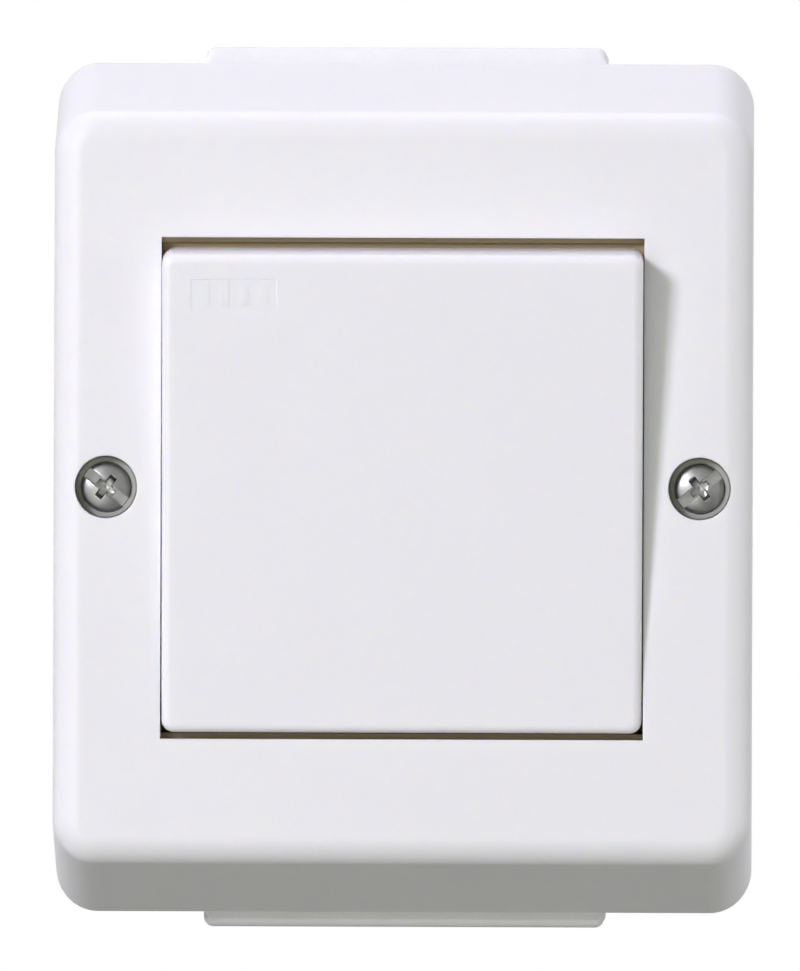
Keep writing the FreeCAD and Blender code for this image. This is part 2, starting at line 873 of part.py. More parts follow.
def headed_screw(name, head_radius, head_height, length):
    """A plain screw with a slotted cheese head, standing on its seat at the body's own origin."""
    screw = new_body(name)
    shank = sketch(screw, WALL)
    circle(shank, "screw_shank_radius")
    pad(screw, shank, length, reverse=True)
    head = sketch(screw, WALL)
    circle(head, head_radius)
    pad(screw, head, head_height)
    slot = sketch(screw, WALL, head_height)
    rectangle(slot, f"2 * {head_radius}", "slot_width")
    pocket(screw, slot, "slot_depth")
    return screw


def make_frame_screws():
    length = "frame_screw_length + frame_sheet - seat_gap"
    screw = headed_screw("frame_screw_upper", "frame_screw_head_radius", "screw_head_height", length)
    place(screw, level="flange_level", up="frame_screw_shift")
    return group("frame_screws", [screw, mirror_copy(screw, "frame_screw_lower", UP)])


# Diaphragm


def make_rocker_seal():
    seal = new_body("rocker_seal")
    flange = sketch(seal, WALL, "flange_level")
    rectangle(flange, "frame_width", "collar_height - seat_gap")
    pad(seal, flange, "diaphragm_flange")
    riser = sketch(seal, WALL, "collar_level")
    bevelled(riser, "diaphragm_width", "diaphragm_width", "diaphragm_corner")
    pad(seal, riser, "diaphragm_rise")
    roof_loft(seal, "PartDesign::AdditiveLoft", "0")

    inside = sketch(seal, WALL, "flange_level")
    inner_width = "diaphragm_width - 2 * diaphragm_wall"
    bevelled(inside, inner_width, inner_width, "diaphragm_corner")
    pocket(seal, inside, "shoulder_level - flange_level", reverse=True)
    roof_loft(seal, "PartDesign::SubtractiveLoft", "diaphragm_wall")
    mouth = sketch(seal, WALL, "shoulder_level")
    bevelled(mouth, "lip_width", "lip_height", "diaphragm_corner")
    pocket(seal, mouth, "lip_level - shoulder_level", reverse=True)
    return seal


def roof_loft(seal, kind, wall):
    """The sloping roof between the diaphragm's shoulder and its lip."""
    foot = sketch(seal, WALL, "shoulder_level")
    width = f"diaphragm_width - 2 * {wall}"
    bevelled(foot, width, width, "diaphragm_corner")
    brow = sketch(seal, WALL, f"lip_level - {wall}")
    bevelled(
        brow,
        f"lip_width + 2 * (diaphragm_wall - {wall})",
        f"lip_height + 2 * (diaphragm_wall - {wall})",
        "diaphragm_corner",
    )
    loft = seal.newObject(kind, f"{seal.Name}_loft")
    loft.Profile = foot
    loft.Sections = [brow]
    loft.Ruled = True


# Rocker, cradle, plunger and spring, each drawn about the pivot with the rocker level


def tilt_with_rocker(body):
    place(body, level="pivot_level", angle="rest_tilt")


def make_rocker():
    rocker = new_body("rocker")
    block = sketch(rocker, WALL, "rocker_back")
    rounded(block, "rocker_width", "rocker_width", "rocker_corner")
    pad(rocker, block, "rocker_skirt")
    fillet(rocker, "rocker_edge", at_level("rocker_reach"))

    hollow = sketch(rocker, WALL, "rocker_back")
    rectangle(hollow, *["rocker_width - 2 * rocker_wall"] * 2)
    pocket(rocker, hollow, "rocker_skirt - rocker_plate", reverse=True)

    ribs = sketch(rocker, WALL, "rocker_under")
    for side in ("", "-"):
        rectangle(ribs, "rocker_width - rocker_wall", "rocker_rib", up=f"{side}rocker_rib_pitch / 2")
    pad(rocker, ribs, "rocker_rib_height", reverse=True)

    pegs = sketch(rocker, WALL, "rocker_under")
    circle(pegs, "peg_radius", across="peg_pitch / 2")
    circle(pegs, "peg_radius", across="-peg_pitch / 2")
    pad(rocker, pegs, "peg_length", reverse=True)

    mark = sketch(rocker, WALL, "rocker_reach")
    left, up = "mark_inset_across - rocker_width / 2", "rocker_width / 2 - mark_inset_up"
    rectangle(mark, "mark_width", "mark_height", across=left, up=up)
    for step in (-1.5, -0.5, 0.5, 1.5):
        rectangle(
            mark,
            "mark_bar_width",
            "mark_bar_height",
            across=f"{left} + {step} * mark_width / 4.5",
            up=up,
        )
    pocket(rocker, mark, "mark_depth")
    tilt_with_rocker(rocker)
    return rocker


def make_cradle():
    cradle = new_body("cradle")
    block = sketch(cradle, WALL, "-cradle_back")
    rounded(block, "cradle_width", "cradle_height", "stem_web")
    pad(cradle, block, "cradle_back + cradle_top")

    axle = sketch(cradle, SIDE)
    circle(axle, "trunnion_radius")
    pad(cradle, axle, "2 * (lug_outside - seat_gap)", symmetric=True)

    web = sketch(cradle, TOP)
    polygon(
        web,
        [
            ("-cradle_width / 3", "cradle_back / 2"),
            ("cradle_width / 3", "cradle_back / 2"),
            ("0", "stem_reach * 0.55"),
        ],
    )
    pad(cradle, web, "stem_web", symmetric=True)
    stem = sketch(cradle, WALL, "-stem_reach")
    circle(stem, "stem_radius")
    pad(cradle, stem, "stem_reach - cradle_back / 2")

    bore = sketch(cradle, WALL, "-stem_reach")
    circle(bore, "plunger_radius + running_gap")
    pocket(cradle, bore, "stem_reach - bore_top", reverse=True)
    sockets = sketch(cradle, WALL, "cradle_top")
    circle(sockets, "peg_radius + seat_gap", across="peg_pitch / 2")
    circle(sockets, "peg_radius + seat_gap", across="-peg_pitch / 2")
    pocket(cradle, sockets, "peg_length")
    tilt_with_rocker(cradle)
    return cradle


def make_plunger():
    plunger = new_body("plunger")
    rod = sketch(plunger, WALL, "-nose_reach")
    circle(rod, "plunger_radius")
    pad(plunger, rod, "plunger_length")
    chamfer(plunger, "plunger_radius / 2", at_level("-nose_reach"))
    tilt_with_rocker(plunger)
    return plunger


def make_plunger_spring():
    """A coil of square wire that fills the bore between the plunger and the cradle."""
    spring = new_body("plunger_spring")
    wire = sketch(spring, TOP)
    coil_radius = "plunger_radius - spring_wire / 2 - thread_gap"
    rectangle(
        wire,
        "spring_wire",
        "spring_wire",
        across=coil_radius,
        up="nose_reach - plunger_length - spring_wire / 2 - thread_gap",
    )
    coil = spring.newObject("PartDesign::AdditiveHelix", "plunger_spring_helix")
    coil.Profile = wire
    coil.ReferenceAxis = (origin_plane(spring, "Y_Axis"), [""])
    coil.Mode = "height-turns-growth"
    bind(coil, "Height", "spring_length - spring_wire - 2 * thread_gap")
    bind(coil, "Turns", "spring_turns")
    coil.Reversed = True
    tilt_with_rocker(spring)
    return spring


# Mechanism housing


def make_insert_body():
    housing = new_body("insert_body")
    outline = sketch(housing, WALL, "chamber_floor")
    rounded(outline, "housing_width", "housing_height", "housing_corner")
    pad(housing, outline, "housing_depth - housing_floor")
    chamber = sketch(housing, WALL, "chamber_floor")
    rectangle(
        chamber,
        "housing_width - 2 * housing_side_wall",
        "housing_height - 2 * housing_end_wall",
    )
    pocket(housing, chamber, "chamber_roof - chamber_floor", reverse=True)
    add_lugs(housing)

    slot = sketch(housing, WALL, "frame_level")
    rectangle(
        slot,
        "2 * (stem_radius + swing_gap)",
        "2 * (stem_radius + stem_swing + swing_gap)",
    )
    pocket(housing, slot, "housing_roof")
    driver_holes = sketch(housing, WALL, "frame_level")
    for across, up in clamp_places():
        circle(driver_holes, "driver_hole_radius", across=across, up=up)
    pocket(housing, driver_holes, "housing_roof")
    rivet_holes = sketch(housing, WALL, "frame_level")
    for across, up in rivet_places():
        circle(rivet_holes, "rivet_radius + thread_gap", across=across, up=up)
    pocket(housing, rivet_holes, "housing_depth")

    for across, up in clamp_places():
        wire = sketch(housing, TOP, f"{'-' if up[0] == '-' else ''}housing_height / 2")
        circle(wire, "wire_hole_radius", across=across, up="-wire_level")
        pocket(housing, wire, "housing_end_wall", reverse=up[0] == "-")
    return housing


def add_lugs(housing):
    lug = sketch(housing, SIDE, "lug_gap / 2")
    rectangle(
        lug,
        "pivot_level - chamber_roof - housing_roof / 2",
        "2 * lug_radius",
        across="-(pivot_level + chamber_roof + housing_roof / 2) / 2",
    )
    cheek = pad(housing, lug, "lug_thickness")
    crown = sketch(housing, SIDE, "lug_gap / 2")
    circle(crown, "lug_radius", across="-pivot_level")
    top = pad(housing, crown, "lug_thickness")
    repeat_mirrored(housing, [cheek, top], SIDE)
    bearing = sketch(housing, SIDE)
    circle(bearing, "trunnion_radius + running_gap", across="-pivot_level")
    pocket(housing, bearing, ALL, symmetric=True)


def clamp_places():
    """The clamps of the upper contact, the lower contact and the common strip."""
    return [
        ("clamp_across", "clamp_up"),
        ("clamp_across", "-clamp_up"),
        ("-clamp_across", "-clamp_up"),
    ]


def make_insert_base():
    base = new_body("insert_base")
    plate = sketch(base, WALL, "housing_back")
    rounded(plate, "housing_width", "housing_height", "housing_corner")
    pad(base, plate, "housing_floor")

    pillars = sketch(base, WALL, "housing_back")
    rectangle(pillars, "2 * contact_half_width", "contact_strip", up="tip_offset")
    rectangle(pillars, "2 * contact_half_width", "contact_strip", up="-tip_offset")
    rectangle(pillars, "2 * contact_half_width", "fulcrum_base")
    pad(base, pillars, "strip_level - housing_back")
    seats = sketch(base, WALL, "housing_back")
    for across, up in clamp_places():
        rectangle(seats, "clamp_width", "clamp_length", across=across, up=up)
    pad(base, seats, "clamp_back - housing_back")

    rivet_holes = sketch(base, WALL, "chamber_floor")
    for across, up in rivet_places():
        circle(rivet_holes, "rivet_radius + thread_gap", across=across, up=up)
    pocket(base, rivet_holes, "housing_floor")
    return base


# Contacts


def make_fixed_contact():
    contact = new_body("fixed_contact_upper")
    strip = sketch(contact, WALL, "strip_level")
    tail = "(clamp_width / 2 - clamp_wall - seat_gap)"
    polygon(
        strip,
        [
            ("-contact_half_width", "tip_offset - contact_strip / 2"),
            (f"clamp_across + {tail}", "tip_offset - contact_strip / 2"),
            (f"clamp_across + {tail}", "clamp_up + clamp_length / 2"),
            (f"clamp_across - {tail}", "clamp_up + clamp_length / 2"),
            (f"clamp_across - {tail}", "tip_offset + contact_strip / 2"),
            ("-contact_half_width", "tip_offset + contact_strip / 2"),
        ],
    )
    pad(contact, strip, "contact_sheet")
    return contact


def make_common_terminal():
    common = new_body("common_terminal")
    strip = sketch(common, WALL, "strip_level")
    tail = "(clamp_width / 2 - clamp_wall - seat_gap)"
    polygon(
        strip,
        [
            ("contact_half_width", "-fulcrum_base / 2"),
            ("contact_half_width", "fulcrum_base / 2"),
            (f"-clamp_across - {tail}", "fulcrum_base / 2"),
            (f"-clamp_across - {tail}", "-clamp_up - clamp_length / 2"),
            (f"-clamp_across + {tail}", "-clamp_up - clamp_length / 2"),
            (f"-clamp_across + {tail}", "-fulcrum_base / 2"),
        ],
    )
    pad(common, strip, "contact_sheet")
    ridge = sketch(common, SIDE)
    polygon(
        ridge,
        [
            ("-strip_level", "-fulcrum_base / 2"),
            ("-strip_level", "fulcrum_base / 2"),
            ("-strip_top", "fulcrum_base / 2"),
            ("-(strip_top + fulcrum_height)", "0"),
            ("-strip_top", "-fulcrum_base / 2"),
        ],
    )
    pad(common, ridge, "2 * contact_half_width", symmetric=True)
    return common


def make_fixed_contact_tips():
    tip = new_body("fixed_contact_tip_upper")
    button = sketch(tip, WALL, "strip_top")
    circle(button, "tip_radius", up="tip_offset")
    pad(tip, button, "tip_height")
    return group(
        "fixed_contact_tips", [tip, mirror_copy(tip, "fixed_contact_tip_lower", UP)]
    )


def tilt_with_blade(body):
    place(body, level="blade_level", angle="-rest_tilt")


def make_moving_contact():
    """The see-saw, drawn about its own pivot and level with the wall."""
    blade = new_body("moving_contact")
    outline = sketch(blade, WALL)
    polygon(
        outline,
        [
            ("-blade_width / 2", "-blade_half_length"),
            ("blade_width / 2", "-blade_half_length"),
            ("blade_width / 2", "-blade_width / 2"),
            ("blade_waist / 2", "-blade_width / 2"),
            ("blade_waist / 2", "blade_width / 2"),
            ("blade_width / 2", "blade_width / 2"),
            ("blade_width / 2", "blade_half_length"),
            ("-blade_width / 2", "blade_half_length"),
            ("-blade_width / 2", "blade_width / 2"),
            ("-blade_waist / 2", "blade_width / 2"),
            ("-blade_waist / 2", "-blade_width / 2"),
            ("-blade_width / 2", "-blade_width / 2"),
        ],
    )
    pad(blade, outline, "blade_sheet")
    tilt_with_blade(blade)
    return blade


def make_moving_contact_tips():
    tips = []
    for end, side in (("upper", ""), ("lower", "-")):
        tip = new_body(f"moving_contact_tip_{end}")
        button = sketch(tip, WALL)
        circle(button, "tip_radius", up=f"{side}tip_offset")
        pad(tip, button, "tip_height", reverse=True)
        tilt_with_blade(tip)
        tips.append(tip)
    return group("moving_contact_tips", tips)


# Clamps


def make_terminal_clamps():
    clamps = []
    for number, (across, up) in enumerate(clamp_places(), 1):
        cage = new_body(f"terminal_clamp_{number}")
        block = sketch(cage, WALL, "clamp_back")
        rectangle(block, "clamp_width", "clamp_length", across=across, up=up)
        pad(cage, block, "clamp_top - clamp_back")
        bay = sketch(cage, TOP, up)
        rectangle(
            bay,
            "clamp_width - 2 * clamp_wall",
            "clamp_bay",
            across=across,
            up="-(clamp_top + clamp_back) / 2",
        )
        pocket(cage, bay, "2 * clamp_length", symmetric=True)
        hole = sketch(cage, WALL, "clamp_top")
        circle(hole, "screw_shank_radius + thread_gap", across=across, up=up)
        pocket(cage, hole, "clamp_wall")
        clamps.append(cage)
    return group("terminal_clamps", clamps)


def make_terminal_screws():
    screws = []
    for number, (across, up) in enumerate(clamp_places(), 1):
        screw = headed_screw(
            f"terminal_screw_{number}",
            "clamp_screw_head_radius",
            "clamp_screw_head_height",
            "clamp_head_level - strip_top - thread_gap",
        )
        place(screw, across=across, level="clamp_head_level", up=up)
        screws.append(screw)
    return group("terminal_screws", screws)


def make_earth_terminal():
    clamp = new_body("earth_terminal")
    block = sketch(clamp, WALL, "earth_level")
    rectangle(block, "earth_width", "earth_height", across="earth_across", up="-earth_up")
    pad(clamp, block, "earth_depth")
    wire = sketch(clamp, SIDE, "earth_across")
    circle(wire, "earth_wire_radius", across="-earth_wire_level", up="-earth_up")
    pocket(clamp, wire, "2 * earth_width", symmetric=True)
    hole = sketch(clamp, WALL, "earth_top")
    circle(hole, "screw_shank_radius + thread_gap", across="earth_across", up="-earth_up")
    pocket(clamp, hole, "earth_depth / 2")
    return clamp


def make_earth_terminal_screw():
    screw = headed_screw(
        "earth_terminal_screw",
        "clamp_screw_head_radius",
        "clamp_screw_head_height",
        "earth_depth / 2",
    )
    place(screw, across="earth_across", level="earth_top + seat_gap", up="-earth_up")
    return screw


# The whole switch

entry_top = make_cable_entry()
upper_contact = make_fixed_contact()
pieces = [
    make_base_box(),
    make_base_seal(),
    entry_top,
    mirror_copy(entry_top, "cable_entry_bottom", UP),
    make_cover(),
    make_cover_screws(),
    make_cover_screw_seals(),
    make_thread_inserts(),
    make_support_frame(),
    make_frame_screws(),
    make_frame_rivets(),
    make_rocker_seal(),
    make_rocker(),
    make_cradle(),
    make_plunger(),
    make_plunger_spring(),
    make_insert_body(),
    make_insert_base(),
    upper_contact,
    mirror_copy(upper_contact, "fixed_contact_lower", UP),
    make_fixed_contact_tips(),
    make_common_terminal(),
    make_moving_contact(),
    make_moving_contact_tips(),
    make_terminal_clamps(),
    make_terminal_screws(),
    make_earth_terminal(),
    make_earth_terminal_screw(),
]
doc.recompute()

for item in doc.Objects:
    if {"Invalid", "Error"} & set(item.State):
        raise RuntimeError(f"{item.Name} failed: {item.getStatusString()}")
    if item.TypeId in ("PartDesign::Pocket", "PartDesign::SubtractiveLoft"):
        if item.Shape.Volume > item.BaseFeature.Shape.Volume - CLOSE:
            raise RuntimeError(f"{item.Name} cuts nothing")

os.makedirs("parts", exist_ok=True)
for piece in pieces:
    if piece.Shape.isNull() or not piece.Shape.isValid():
        raise RuntimeError(f"{piece.Label} has no valid shape")
for piece in pieces:
    piece.Shape.exportStep(f"parts/{piece.Label}.step")
    print(piece.Label, len(piece.Shape.Solids), round(piece.Shape.Volume, 1))
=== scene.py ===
import math

import bmesh
import bpy
from mathutils import Matrix, Vector


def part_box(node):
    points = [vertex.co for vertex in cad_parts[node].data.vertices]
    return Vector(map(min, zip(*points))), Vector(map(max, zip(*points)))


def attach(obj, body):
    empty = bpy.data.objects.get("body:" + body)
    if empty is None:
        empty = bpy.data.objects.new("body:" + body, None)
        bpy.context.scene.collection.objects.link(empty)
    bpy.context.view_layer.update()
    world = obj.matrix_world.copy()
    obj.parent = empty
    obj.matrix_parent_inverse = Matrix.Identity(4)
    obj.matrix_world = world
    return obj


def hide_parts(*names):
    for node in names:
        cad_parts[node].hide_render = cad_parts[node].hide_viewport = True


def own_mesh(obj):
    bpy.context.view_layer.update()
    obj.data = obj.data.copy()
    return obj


bl_info = {
    "name": "Weatherproof switch",
    "version": (1, 0, 0),
    "blender": (4, 5, 0),
    "location": "3D View > Sidebar > Switch",
    "description": "Models and paints an outdoor rocker switch around its packed solids",
    "category": "Add Mesh",
}

# Everything is in metres. +Z is up, the wall is at y = 0 and the switch faces -Y.
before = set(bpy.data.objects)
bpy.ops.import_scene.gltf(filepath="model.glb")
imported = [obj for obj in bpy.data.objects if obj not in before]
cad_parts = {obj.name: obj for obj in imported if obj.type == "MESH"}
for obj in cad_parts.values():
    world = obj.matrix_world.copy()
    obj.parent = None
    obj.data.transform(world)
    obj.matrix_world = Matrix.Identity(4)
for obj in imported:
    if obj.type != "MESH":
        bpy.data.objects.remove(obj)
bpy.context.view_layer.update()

COVER_LOW, COVER_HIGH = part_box("cover")
SCREW_LOW, SCREW_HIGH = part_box("cover_screws")
ENTRY_LOW, ENTRY_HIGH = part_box("cable_entry_top")
PIVOT = Vector((0, -0.0419, 0))
SCREW_ACROSS = 0.03015
# The window and the rocker sit a hair to the left of the middle.
OFF_CENTRE = -0.00005


# Sizes and colours


def length(name, description, default):
    return bpy.props.FloatProperty(
        name=name, description=description, default=default, min=0, precision=5, unit="LENGTH"
    )


def angle(name, description, degrees):
    return bpy.props.FloatProperty(
        name=name, description=description, default=math.radians(degrees), unit="ROTATION"
    )


def number(name, description, default):
    return bpy.props.FloatProperty(name=name, description=description, default=default, min=0)


def colour(name, description, default):
    return bpy.props.FloatVectorProperty(
        name=name, description=description, default=default, size=3, min=0, max=1, subtype="COLOR"
    )


class CoverSizes(bpy.types.PropertyGroup):
    lean: length("Lean", "How far the top and bottom faces lean in from rim to front", 0.0057)
    wall: length("Wall", "Thickness of the moulded wall", 0.0024)
    corner: length("Corner", "Radius of the four long corners", 0.0043)
    edge: length("Front edge", "Radius around the front face", 0.0029)
    rim: length("Rims", "Rounding of the window's and wells' rims", 0.00012)
    window_width: length("Window width", "Opening for the rocker", 0.04902)
    window_top: length("Window top", "Upper edge of the opening, from the middle", 0.0254)
    window_bottom: length("Window bottom", "Lower edge of the opening, from the middle", 0.02555)
    collar_wall: length("Collar wall", "Thickness of the collar behind the window", 0.0014)
    collar_end: length("Collar end", "Distance of the collar's rear end from the wall", 0.0352)
    well: length("Well", "Radius of the screw wells' mouths", 0.003175)
    well_end: length("Well end", "Radius at the rear end of the wells' taper", 0.00312)
    well_seat: length("Well seat", "Distance of that end from the wall", 0.0407)
    well_floor: length("Well floor", "Distance of the wells' floors from the wall", 0.0399)
    hole: length("Hole", "Radius of the screw holes", 0.0017)
    tube: length("Tube", "Outer radius of the tubes around the screws", 0.004)


class RockerSizes(bpy.types.PropertyGroup):
    width: length("Width", "Width of the front face", 0.04872)
    height: length("Height", "Height of the front face", 0.0488)
    draft: length("Draft", "How far each side leans out from front to rear", 0.00011)
    reach: length("Reach", "From the pivot to the front face", 0.006)
    skirt: length("Skirt", "Height of the whole rocker, front to back", 0.009)
    wall: length("Wall", "Thickness of the skirt", 0.0016)
    plate: length("Plate", "Thickness of the front plate", 0.002)
    corner: length("Corner", "Radius of the four corners", 0.00125)
    edge: length("Edge", "Radius around the front face", 0.0009)
    tilt: angle("Tilt", "How far the rocker is tipped over", 6)
    mark_width: length("Mark width", "Shallow recess in the corner", 0.0088)
    mark_height: length("Mark height", "Shallow recess in the corner", 0.0033)
    mark_depth: length("Mark depth", "Depth of that recess", 0.00005)


class LipSizes(bpy.types.PropertyGroup):
    lip_inner: length("Lip", "Inner face of the lips, from the middle", 0.02492)
    upper: length("Upper lip", "Distance of the upper lip's front from the wall", 0.0437)
    lower: length("Lower lip", "Distance of the lower lip's front from the wall", 0.0425)
    boot: length("Boot", "Outer face of the rocker's boot, from the middle", 0.02486)
    boot_front: length("Boot front", "Where the boot starts, behind the pivot", 0.0016)


class ScrewSizes(bpy.types.PropertyGroup):
    seat: length("Seat", "Distance of the head's underside from the wall", 0.0407)
    head: length("Head", "Radius of the head", 0.0025)
    height: length("Height", "Height of the head with its crown", 0.0034)
    crown: length("Crown", "Radius of the domed crown", 0.0058)
    edge: length("Edge", "Rounding from the crown to the head's side", 0.0005)
    shank: length("Shank", "Radius of the shank", 0.00145)
    shank_length: length("Shank length", "From the head to the tip", 0.0192)
    slot_width: length("Slot width", "Width of the straight slot", 0.00115)
    slot_depth: length("Slot depth", "Depth of the straight slot", 0.001)
    cross_span: length("Cross span", "Length of the cross recess at its mouth", 0.0031)
    cross_width: length("Cross width", "Width of its arms", 0.00095)
    cross_depth: length("Cross depth", "Depth of the cross recess", 0.00125)
    dish: length("Dish", "Radius of the shallow dish in the slot's floor", 0.00095)
    dish_depth: length("Dish depth", "Depth of that dish", 0.00034)
    turn: angle("Turn", "How far the slot is turned", 38)
    seal: length("Seal", "Outer radius of the seal around the head", 0.0031)
    seal_rise: length("Seal rise", "How far the seal's collar stands up beside the head", 0.0024)


class EntrySizes(bpy.types.PropertyGroup):
    half: length("Half width", "Half the flange's width", 0.02045)
    front: length("Front", "Distance of the flange's front from the wall", 0.0257)
    back: length("Back", "Distance of the flange's rear end from the wall", 0.0047)
    foot: length("Foot", "Distance of the flange's foot from the middle of the switch", 0.0429)
    top: length("Top", "Distance of its outer face from the middle of the switch", 0.045)
    corner: length("Corner", "Radius of the corners seen from the front", 0.001)
    edge: length("Edge", "Radius along the outer edges", 0.0008)
    inside: length("Inside", "Distance of the inner end from the middle of the switch", 0.0391)
    lip: length("Lip", "Thickness and reach of the lip that holds the entry in the box", 0.0011)
    neck_half: length("Neck", "Half the width of the neck in the box's opening", 0.0179)
    neck_depth: length("Neck depth", "Half the depth of that neck", 0.0089)
    neck_middle: length("Neck middle", "Distance of the neck's middle from the wall", 0.016)
    shift: length("Membrane shift", "Distance of each membrane from the middle", 0.00875)
    membrane: length("Membrane", "Radius of the thin membranes", 0.0075)
    sheet: length("Sheet", "Thickness of the membranes", 0.0012)
    groove: length("Groove", "Width and depth of the cutting grooves", 0.0005)


class SpringSizes(bpy.types.PropertyGroup):
    wire: length("Wire", "Radius of the wire", 0.00018)
    coil: length("Coil", "Radius of the coil, to the middle of the wire", 0.00122)
    turns: bpy.props.IntProperty(name="Turns", description="Number of turns", default=5, min=1)
    begin: length("Begin", "Start of the wire, behind the pivot", 0.00173)
    rise: length("Rise", "From the start of the wire to its end", 0.00574)
    anchor: length("Anchor", "Distance of the spring's held end from the wall", 0.0405)
    keep: number("Keep", "Share of its length that is left when the plunger is in", 0.92)


class FinishColours(bpy.types.PropertyGroup):
    enclosure: colour("Enclosure", "White moulded plastic of box and cover", (0.83, 0.83, 0.825))
    rocker: colour("Rocker", "White moulded plastic of the rocker", (0.84, 0.84, 0.84))
    entry: colour("Cable entries", "Off-white rubber", (0.86, 0.86, 0.86))
    gasket: colour("Gasket", "Grey rubber", (0.33, 0.34, 0.3))
    # The sand tone is the rubber's own colour, darkened further as painted shade for the dark gaps above and below
    # the rocker.
    diaphragm_and_gap_shade: colour("Diaphragm", "Sand-coloured rubber", (0.33, 0.26, 0.15))
    # The screws' steel is darker than plated steel's own tone: painted shade standing for the dark surroundings
    # that the heads reflect.
    bright_steel: colour("Screws", "Nickel-plated steel", (0.25, 0.25, 0.238))
    plated_steel: colour("Frame", "Zinc-plated steel", (0.62, 0.63, 0.65))
    brass: colour("Brass", "Drawn brass", (0.75, 0.56, 0.24))
    mechanism: colour("Mechanism", "Light grey moulding", (0.52, 0.53, 0.54))
    cradle: colour("Cradle", "White moulding", (0.76, 0.76, 0.75))
    plunger: colour("Plunger", "Natural nylon", (0.66, 0.62, 0.50))
    contact: colour("Contacts", "Silver alloy", (0.78, 0.77, 0.75))


class StageSettings(bpy.types.PropertyGroup):
    distance: length("Camera distance", "From the camera to the front face", 3.0)
    azimuth: angle("Azimuth", "How far the camera stands to the right", 0.85)
    roll: angle("Roll", "Turn of the picture", 0.2)
    lens: number("Lens", "Focal length in millimetres", 1095.6)
    aim_across: bpy.props.FloatProperty(name="Aim across", default=-0.00027, unit="LENGTH")
    aim_up: bpy.props.FloatProperty(name="Aim up", default=0.00025, unit="LENGTH")
    key: number("Key light", "Power of the softbox at the upper left, in watts", 20.3)
    top: number("Top light", "Power of the softbox overhead, in watts", 18)
    right: number("Right light", "Power of the softbox on the right, in watts", 11.5)
    fill: number("Fill light", "Power of the softbox in front on the right, in watts", 4.5)
    low: number("Low light", "Power of the softbox below the camera, in watts", 6.6)
    left: number("Left light", "Power of the softbox on the left, in watts", 2.5)
    lamp_tone: colour("Lamps", "Colour of the stronger lamps", (0.895, 0.87, 1))
    fill_tone: colour("Fill lamps", "Colour of the lamps that light the shadows", (0.985, 1, 0.935))
    surround: number("Surround", "Brightness of the white surroundings on the object", 0.115)
    floor_level: bpy.props.FloatProperty(name="Floor", default=-0.9, unit="LENGTH")
    floor_glow: colour("Floor glow", "What makes the floor look pale", (0.78, 0.78, 0.78))
    floor_bounce: colour("Floor bounce", "Light that the floor throws back", (0.295, 0.305, 0.262))


# Modelling


def finish_place(piece):
    bpy.ops.object.transform_apply(location=True, rotation=True, scale=True)
    return piece


def start(name, add, **how):
    """Adds a primitive with nothing else selected and puts its place into its mesh."""
    bpy.ops.object.select_all(action="DESELECT")
    add(**how)
    piece = bpy.context.object
    piece.name = piece.data.name = name
    return finish_place(piece)


def block(name, low, high):
    low, high = Vector(low), Vector(high)
    return start(
        name,
        bpy.ops.mesh.primitive_cube_add,
        size=1,
        location=(low + high) / 2,
        scale=high - low,
    )


def rod(name, radius, front, back, across=0.0, up=0.0, sides=64, tip=None):
    """A round bar along Y, or a cone where the rear end has a radius of its own."""
    return start(
        name,
        bpy.ops.mesh.primitive_cone_add,
        vertices=sides,
        radius1=radius if tip is None else tip,
        radius2=radius,
        depth=back - front,
        location=(across, (front + back) / 2, up),
        rotation=(math.pi / 2, 0, 0),
    )


def only(piece):
    """Makes a piece the only selected one, and the active one."""
    bpy.ops.object.select_all(action="DESELECT")
    piece.select_set(True)
    bpy.context.view_layer.objects.active = piece


def edit(piece):
    only(piece)
    bpy.ops.object.mode_set(mode="EDIT")


def leave():
    bpy.ops.object.mode_set(mode="OBJECT")


def choose(kind, test):
    """In edit mode, selects the vertices, edges or faces that pass a test, and nothing else."""
    bpy.ops.mesh.select_mode(type=kind)
    bpy.ops.mesh.select_all(action="DESELECT")
    data = bpy.context.object.data
    mesh = bmesh.from_edit_mesh(data)
    items = {"VERT": mesh.verts, "EDGE": mesh.edges, "FACE": mesh.faces}[kind]
    chosen = [item for item in items if test(item)]
    for item in chosen:
        item.select_set(True)
    mesh.select_flush_mode()
    bmesh.update_edit_mesh(data)
    if not chosen:
        raise RuntimeError(f"nothing chosen on {bpy.context.object.name}")
    return len(chosen)


def round_off(piece, radius, segments, test):
    """Rounds the edges that pass a test."""
    edit(piece)
    choose("EDGE", test)
    bpy.ops.mesh.bevel(offset=radius, segments=segments, affect="EDGES", clamp_overlap=False)
    leave()


def apply(piece, kind, **settings):
    change = piece.modifiers.new(kind.lower(), kind)
    for name, amount in settings.items():
        setattr(change, name, amount)
    only(piece)
    bpy.ops.object.modifier_apply(modifier=change.name)


def combine(piece, tool, operation):
    """Cuts a tool out of a piece, or adds it, and clears the tool away."""
    apply(piece, "BOOLEAN", operation=operation, solver="EXACT", object=tool)
    only(tool)
    bpy.ops.object.delete()
    only(piece)


def cut(piece, *tools):
    for tool in tools:
        combine(piece, tool, "DIFFERENCE")


def add(piece, *tools):
    for tool in tools:
        combine(piece, tool, "UNION")


def place_at(piece, matrix):
    piece.matrix_world = matrix
    only(piece)
    return finish_place(piece)


def smooth(piece, degrees=35):
    """Shades round faces smooth and keeps flat ones flat."""
    edit(piece)
    bpy.ops.mesh.select_all(action="SELECT")
    bpy.ops.mesh.remove_doubles(threshold=1e-7)
    clear_slivers()
    bpy.ops.mesh.select_all(action="SELECT")
    bpy.ops.mesh.normals_make_consistent(inside=False)
    leave()
    only(piece)
    bpy.ops.object.shade_smooth_by_angle(angle=math.radians(degrees))
    apply(piece, "WEIGHTED_NORMAL", weight=100, keep_sharp=True)
    return piece


